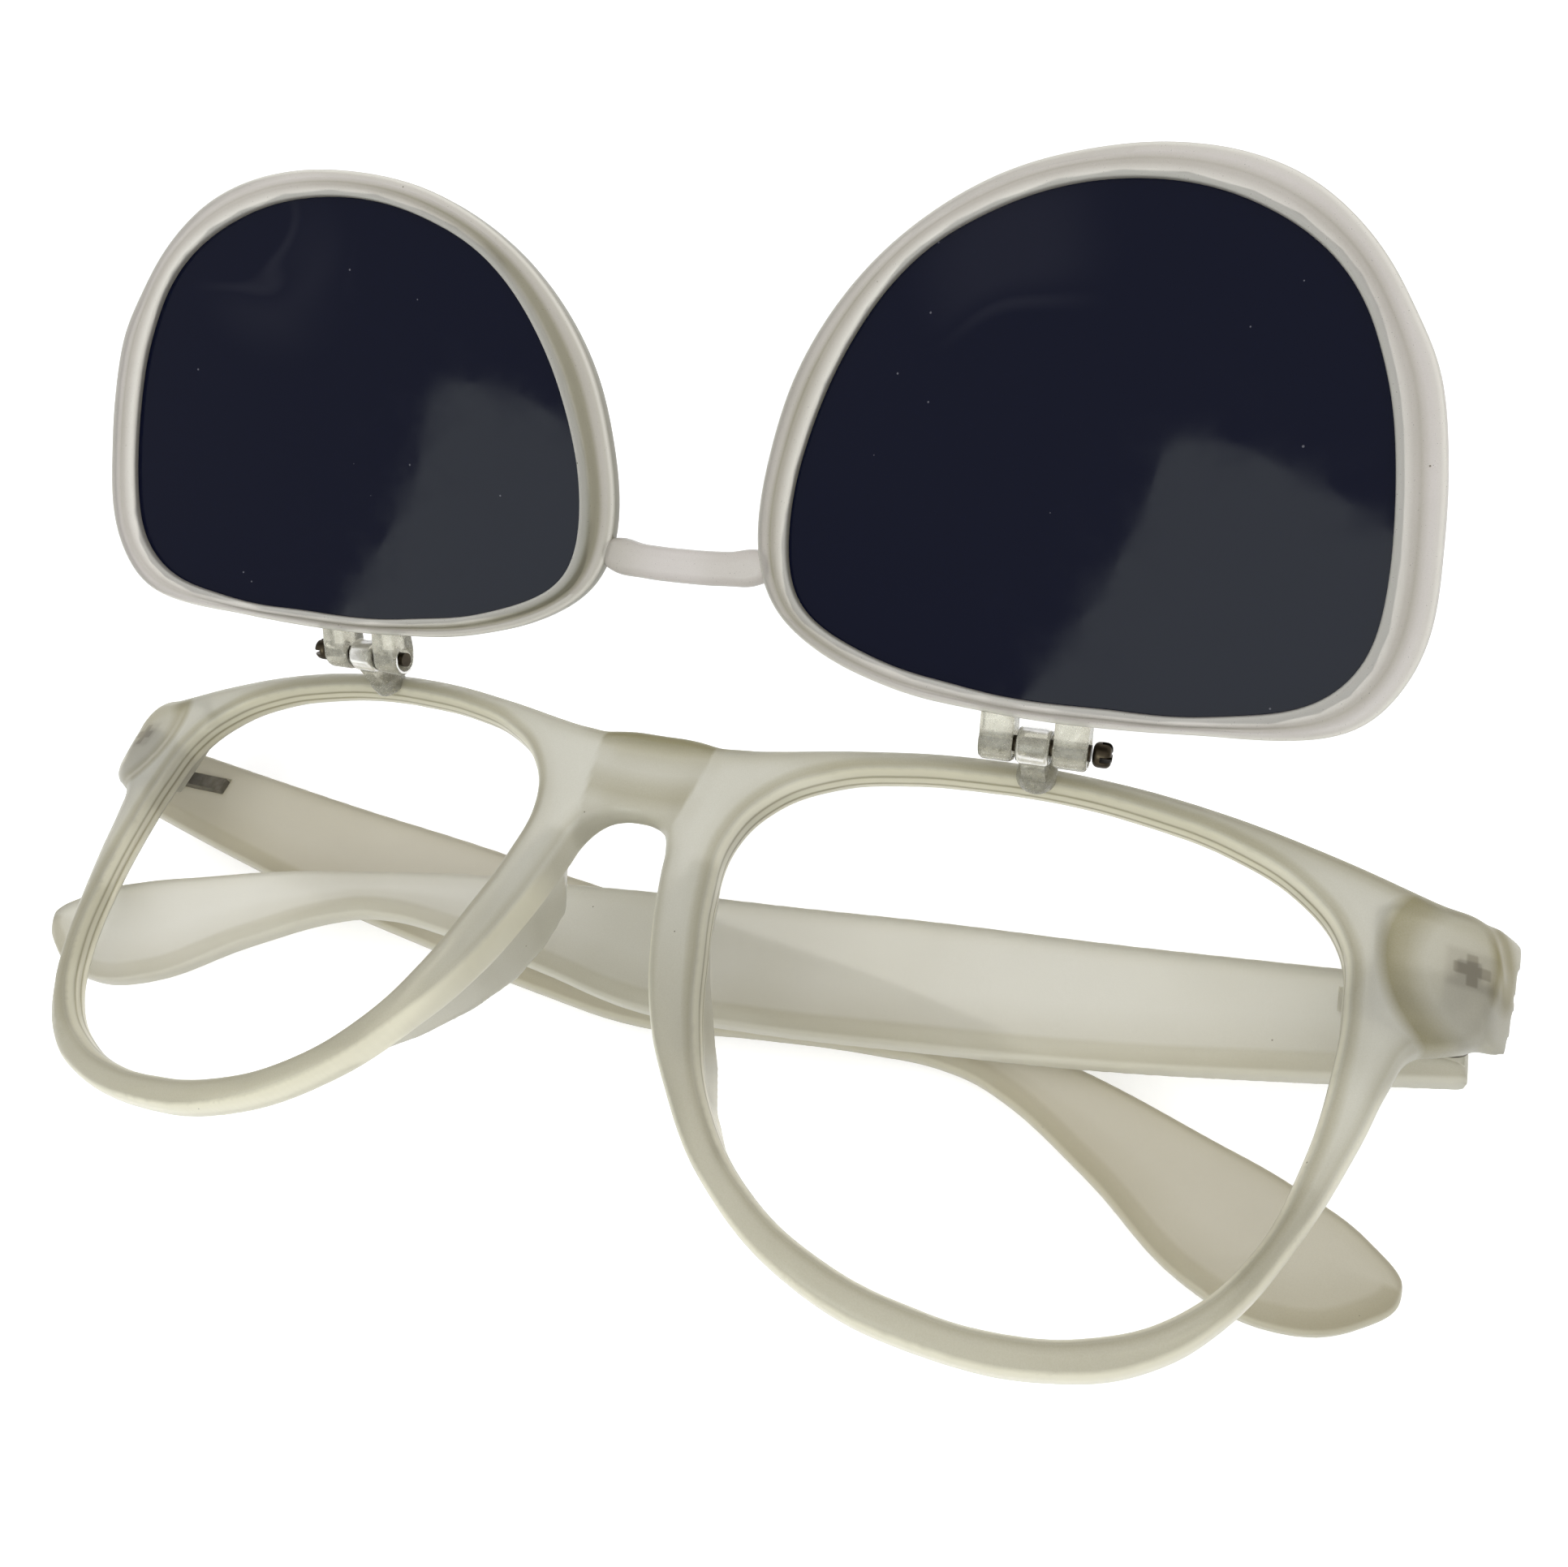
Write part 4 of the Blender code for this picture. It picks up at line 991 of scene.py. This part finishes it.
def front_marks(tree, walls):
    """Painted shade: the brow's band, the lens groove seen through, the ring on the ends, the saddle and lines on
    the openings' walls, with darker lower rims; painted highlights on thin edges; the rivet on the ends.
    """
    place = noted(tree, "flat_place", "Vector")
    x, y, depth = add(tree, "SeparateXYZ", {0: place}).outputs
    from_opening = noted(tree, "from_opening")
    from_edge = noted(tree, "from_edge")
    widened = times(tree, from_edge, remap(tree, x, BROW_SPAN, BROW_NARROWING))
    # Painted shade along the brow's rolled top edge
    brow = times(tree, band(tree, widened, BROW_BAND), between(tree, y, *BROW_RISE))
    # The rims grow darker towards the bottom
    low_rim = times(tree, between(tree, y, *LOW_RIM_FADE), LOW_RIM_TINT)
    flat_place = add(tree, "CombineXYZ", {0: x, 1: y}).outputs[0]
    ring = band(tree, distance_from(tree, flat_place, DISC_PLACE.to_3d()), RING_BAND)
    saddle = times(tree, band(tree, y, SADDLE_BAND), noted(tree, "saddle"))
    lines = times(tree, band(tree, depth, WALL_LINES), between(tree, from_opening, *LINES_FADE))
    painted_shade = strongest(
        tree, brow, band(tree, from_edge, RIM_BAND), low_rim, band(tree, from_opening, GROOVE_BAND), ring, saddle,
        times(tree, walls, 0.4), lines,
    )
    shallow = strongest(tree, between(tree, depth, *DEPTH_FADE), 0.35)
    # Painted highlights along the thin outer edges and the openings' lips
    edge_light = times(tree, band(tree, from_edge, EDGE_LIGHT), between(tree, y, *EDGE_LIGHT_FADE))
    bright = strongest(tree, edge_light, band(tree, from_opening, LIP_LIGHT))
    return times(tree, painted_shade, shallow), combine(tree, "SUBTRACT", bright, lines), rivet_mask(tree, x, y)


def rivet_mask(tree, x, y):
    """The hinge's crossed rivet and its haze, seen faintly through the end of the front."""
    across, along = (
        combine(tree, "ABSOLUTE", combine(tree, "SUBTRACT", value, middle))
        for value, middle in ((x, RIVET_PLACE.x), (y, RIVET_PLACE.y))
    )

    def patch(half_width, half_height):
        return times(tree, between(tree, across, *half_width), between(tree, along, *half_height))

    cross = strongest(tree, patch((0.65, 0.3), (1.6, 1.25)), patch((1.6, 1.25), (0.7, 0.35)))
    haze = patch((2.3, 1.5), (2.0, 1.3))
    return strongest(tree, times(tree, cross, 0.8), times(tree, haze, 0.3))


def temple_marks(tree, walls):
    """Painted shade in a soft band above the temple's lower edge and a thin line under its upper edge, and a painted
    highlight along its lower edges.
    """
    inward = noted(tree, "from_edge")
    lower = fade(tree, noted(tree, "upward"), 0.6, 0.45)
    chamfer_shade = times(tree, band(tree, inward, TEMPLE_BAND), lower)
    painted_shade = strongest(tree, chamfer_shade, band(tree, inward, TEMPLE_LINE), times(tree, walls, 0.35))
    return painted_shade, times(tree, band(tree, inward, TEMPLE_LIGHT), lower), 0


def flip_marks(tree, walls):
    """Painted shade along the rim's drawn bands, darker and greener on the sides that face the middle, and painted
    highlights on its bright edges.
    """
    x = add(tree, "SeparateXYZ", {0: own_place(tree)}).outputs[0]
    left_side, right_side = (
        times(tree, between(tree, x, *start), between(tree, x, *end)) for start, end in FLIP_SIDES
    )
    middle = strongest(tree, times(tree, left_side, 0.5), right_side)
    painted_shade = times(tree, noted(tree, "painted_edge_shade"), combine(tree, "ADD", middle, 1))
    painted_shade = combine(tree, "ADD", painted_shade, times(tree, middle, 0.28))
    painted_shade = strongest(tree, painted_shade, times(tree, walls, 0.15))
    return combine(tree, "MINIMUM", painted_shade, 1), noted(tree, "painted_edge_highlight"), 0


def clear_lens_material():
    sockets = {"Base Color": srgb(250, 250, 252), "Roughness": 0.02, "IOR": 1.08, "Transmission Weight": 1}
    material, tree, shader = new_material("clear_diffraction_lens", sockets)
    colour = blend(tree, noise(tree, 35), srgb(250, 250, 254), srgb(254, 253, 250))
    fill(tree, shader, {"Base Color": colour})
    let_light_through(tree, shader, share=0.97)
    return material


def wipe_marks(tree):
    """Faint curved wipe marks high on each tinted lens."""
    swirl = noise(tree, 70, detail=0.5, distortion=0.9)
    lines = fade(tree, combine(tree, "ABSOLUTE", combine(tree, "SUBTRACT", swirl, 0.5)), 0.045, 0)
    marks = strongest(tree, lines, times(tree, fade(tree, swirl, 0.48, 0.64), 0.8))
    near = [between(tree, distance_from(tree, own_place(tree), place), 10, 3) for place in WIPE_PLACES]
    return times(tree, marks, strongest(tree, *near))


def tinted_lens_material():
    sockets = {"Base Color": DARK_TINT, "Roughness": 0.07, "IOR": 1.5, "Specular IOR Level": 0.1}
    material, tree, shader = new_material("dark_tinted_lens", sockets)
    marks = strongest(tree, specks(tree, 330, size=0.03), times(tree, wipe_marks(tree), 0.07))
    fill(tree, shader, {
        "Base Color": blend(tree, marks, DARK_TINT, (0.10, 0.10, 0.12, 1)),
        "Roughness": remap(tree, noise(tree, 300, detail=5), (0.35, 0.75), (0.03, 0.10)),
        "Normal": bumped(tree, noise(tree, 42, detail=1), strength=0.25, distance=0.25 * MM),
    })
    return material


def clear_plastic_material():
    sockets = {"Base Color": srgb(222, 219, 210), "Roughness": 0.2, "IOR": 1.45, "Transmission Weight": 0.7}
    material, tree, shader = new_material("clear_hinge_plastic", sockets)
    skin = frosted_skin(tree, grain=6000, wave=500, speck=400, speck_size=0.03)
    milk = combine(tree, "MULTIPLY_ADD", noise(tree, 1300, detail=4), 1.2, -0.45)
    mottled = strongest(tree, milk, skin["Specks"])
    fill(tree, shader, {
        "Base Color": blend(tree, mottled, srgb(228, 225, 211), srgb(138, 134, 112)),
        "Roughness": remap(tree, skin["Grain"], (0, 1), (0.16, 0.34)),
        "Normal": bumped(tree, skin["Height"], strength=0.3, distance=0.05 * MM),
    })
    return material


def steel_material(name, bright, dark, roughness):
    """Steel with darker stains, which are also rougher."""
    sockets = {"Base Color": bright, "Roughness": roughness, "Metallic": 1}
    material, tree, shader = new_material(name, sockets)
    stain = noise(tree, 1100, detail=5)
    fill(tree, shader, {
        "Base Color": blend(tree, stain, bright, dark),
        "Roughness": remap(tree, stain, (0, 1), (roughness - 0.1, roughness + 0.2)),
    })
    return material


# Frosted plastics: face colour, painted shade colour, painted highlight colour, the marks that place them, and
# roughness
frame_plastic = frosted_plastic(
    "frame_frosted_plastic", srgb(213, 211, 201), srgb(150, 142, 109), srgb(238, 234, 214), front_marks, 0.32
)
# The temples are one plastic in two copies: the left painted lighter as painted light, the right painted darker and
# warmer as painted shade
left_temple_lit_plastic = frosted_plastic(
    "left_temple_frosted_plastic", srgb(219, 217, 208), srgb(165, 158, 133), srgb(232, 229, 215), temple_marks, 0.38
)
right_temple_shaded_plastic = frosted_plastic(
    "right_temple_frosted_plastic", srgb(204, 199, 184), srgb(156, 147, 117), srgb(226, 222, 202), temple_marks, 0.38
)
flip_plastic = frosted_plastic(
    "flip_frosted_plastic", srgb(206, 200, 197), srgb(143, 138, 117), srgb(238, 235, 226), flip_marks, 0.3,
    direction=FLIP_DIRECTION, spread=0.4,
)
clear_lens = clear_lens_material()
tinted_lens = tinted_lens_material()
clear_plastic = clear_plastic_material()
hinge_steel = steel_material("hinge_steel", srgb(176, 172, 164), srgb(96, 90, 80), 0.35)
screw_steel = steel_material("dark_screw_steel", srgb(86, 77, 63), srgb(24, 20, 15), 0.3)


def dress(piece, material):
    """Gives a piece its finish."""
    piece.data.materials.clear()
    piece.data.materials.append(material)


def wear(piece, node, body, material):
    """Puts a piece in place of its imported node, on its body and in its finish."""
    dress(piece, material)
    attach(piece, body)
    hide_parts(node)


def wear_pair(piece, node, body, material):
    """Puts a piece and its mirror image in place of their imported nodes."""
    twin = other_hand(piece, piece.name.replace("left", "right"))
    wear(piece, "left_" + node, body, material)
    wear(twin, "right_" + node, body, material)


wear(make_front(), "main_frame", "frame", frame_plastic)
wear_pair(make_clear_lens(), "diffraction_lens", "frame", clear_lens)
temple = make_temple()
other_temple = other_hand(temple, "right_temple_moulding")
temple.data.transform(folded(LEFT_FOLD))
other_temple.data.transform(MIRROR @ folded(RIGHT_FOLD) @ MIRROR)
wear(temple, "left_temple", "left_temple_arm", left_temple_lit_plastic)
wear(other_temple, "right_temple", "right_temple_arm", right_temple_shaded_plastic)
wear_pair(make_flip_rim(), "flip_rim", "flip_front", flip_plastic)
wear(make_bar(), "flip_bridge_bar", "flip_front", flip_plastic)
inner_ear = make_ear("left_inner_ear", FLIP_CENTRE.x - EAR_OFFSET)
outer_ear = make_ear("left_outer_ear", FLIP_CENTRE.x + EAR_OFFSET)
lug = make_lug()
screw = make_flip_screw()
wear_pair(inner_ear, "flip_hinge_inner_ear", "flip_front", clear_plastic)
wear_pair(outer_ear, "flip_hinge_outer_ear", "flip_front", clear_plastic)
wear_pair(lug, "flip_hinge_lug", "frame", clear_plastic)
wear_pair(screw, "flip_hinge_screw", "flip_front", screw_steel)
for side in ("left", "right"):
    for node, material in (
        ("tinted_lens", tinted_lens), ("temple_hinge_screw", screw_steel),
        ("temple_hinge_leaf", hinge_steel), ("frame_hinge_leaf", hinge_steel),
    ):
        dress(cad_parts[f"{side}_{node}"], material)


def add_floor():
    """A white floor that glows for every sight line and still keeps the shadow."""
    bpy.ops.mesh.primitive_plane_add(size=FLOOR_SIZE, location=(0, 0, 0))
    floor = bpy.context.object
    floor.name = "studio_floor"
    sockets = {"Base Color": (0.86, 0.86, 0.86, 1), "Roughness": 0.9, "Specular IOR Level": 0}
    material, tree, shader = new_material("white_floor", sockets)
    path = add(tree, "LightPath").outputs
    seen = strongest(tree, path["Is Camera Ray"], path["Is Glossy Ray"], path["Is Transmission Ray"])
    glow = add(tree, "Emission", {"Strength": times(tree, seen, FLOOR_GLOW)})
    show(tree, add(tree, "AddShader", {0: shader.outputs[0], 1: glow.outputs[0]}))
    floor.data.materials.append(material)


def add_world():
    """Soft light all round, darker towards the level of the table, and plain white to the camera."""
    world = bpy.data.worlds.new("soft_studio")
    scene.world = world
    world.use_nodes = True
    tree = world.node_tree
    way = add(tree, "TexCoord").outputs["Generated"]
    height = add(tree, "SeparateXYZ", {0: way}).outputs["Z"]
    level = remap(tree, height, (0.05, 0.6), (0.42, 1.02))
    strength = strongest(tree, level, add(tree, "LightPath").outputs["Is Camera Ray"])
    fill(tree, tree.nodes["Background"], {"Color": (1, 1, 1, 1), "Strength": strength})


def add_window():
    """The window whose corner shows in both tinted lenses."""
    bpy.ops.mesh.primitive_circle_add(vertices=len(WINDOW_EDGE), radius=1.0, fill_type="NGON")
    pane = bpy.context.object
    pane.name = "window_pane"
    for vert, (x, y) in zip(pane.data.vertices, WINDOW_EDGE):
        vert.co = (x * MM, y * MM, 0)
    away = WINDOW_PLACE.normalized()
    up = away.cross(WINDOW_ACROSS).normalized()
    turn = Matrix((up.cross(away), up, away)).transposed()
    pane.data.transform(moved(WINDOW_PLACE) @ turn.to_4x4())
    material, tree, shader = new_material("window_glow", {})
    tree.nodes.remove(shader)
    show(tree, add(tree, "Emission", {"Color": WINDOW_COLOUR, "Strength": WINDOW_GLOW}))
    pane.data.materials.append(material)


def add_lamp():
    """A weak wide lamp above and behind."""
    data = bpy.data.lights.new("back_light", "AREA")
    data.shape = "RECTANGLE"
    data.size = data.size_y = LAMP_SIZE
    data.energy = LAMP_POWER
    lamp = bpy.data.objects.new("back_light", data)
    scene.collection.objects.link(lamp)
    lamp.location = LAMP_PLACE
    lamp.rotation_euler = (LAMP_TARGET - LAMP_PLACE).to_track_quat("-Z", "Y").to_euler()


def add_camera():
    data = bpy.data.cameras.new("photo_camera")
    data.sensor_width = SENSOR_WIDTH
    data.lens = CAMERA_LENS
    data.clip_start = NEAREST_SEEN
    camera = bpy.data.objects.new("photo_camera", data)
    scene.collection.objects.link(camera)
    camera.matrix_world = moved(CAMERA_PLACE) @ CAMERA_TURN.to_4x4()
    scene.camera = camera


add_floor()
add_world()
add_window()
add_lamp()
add_camera()

scene.view_settings.view_transform = "Standard"
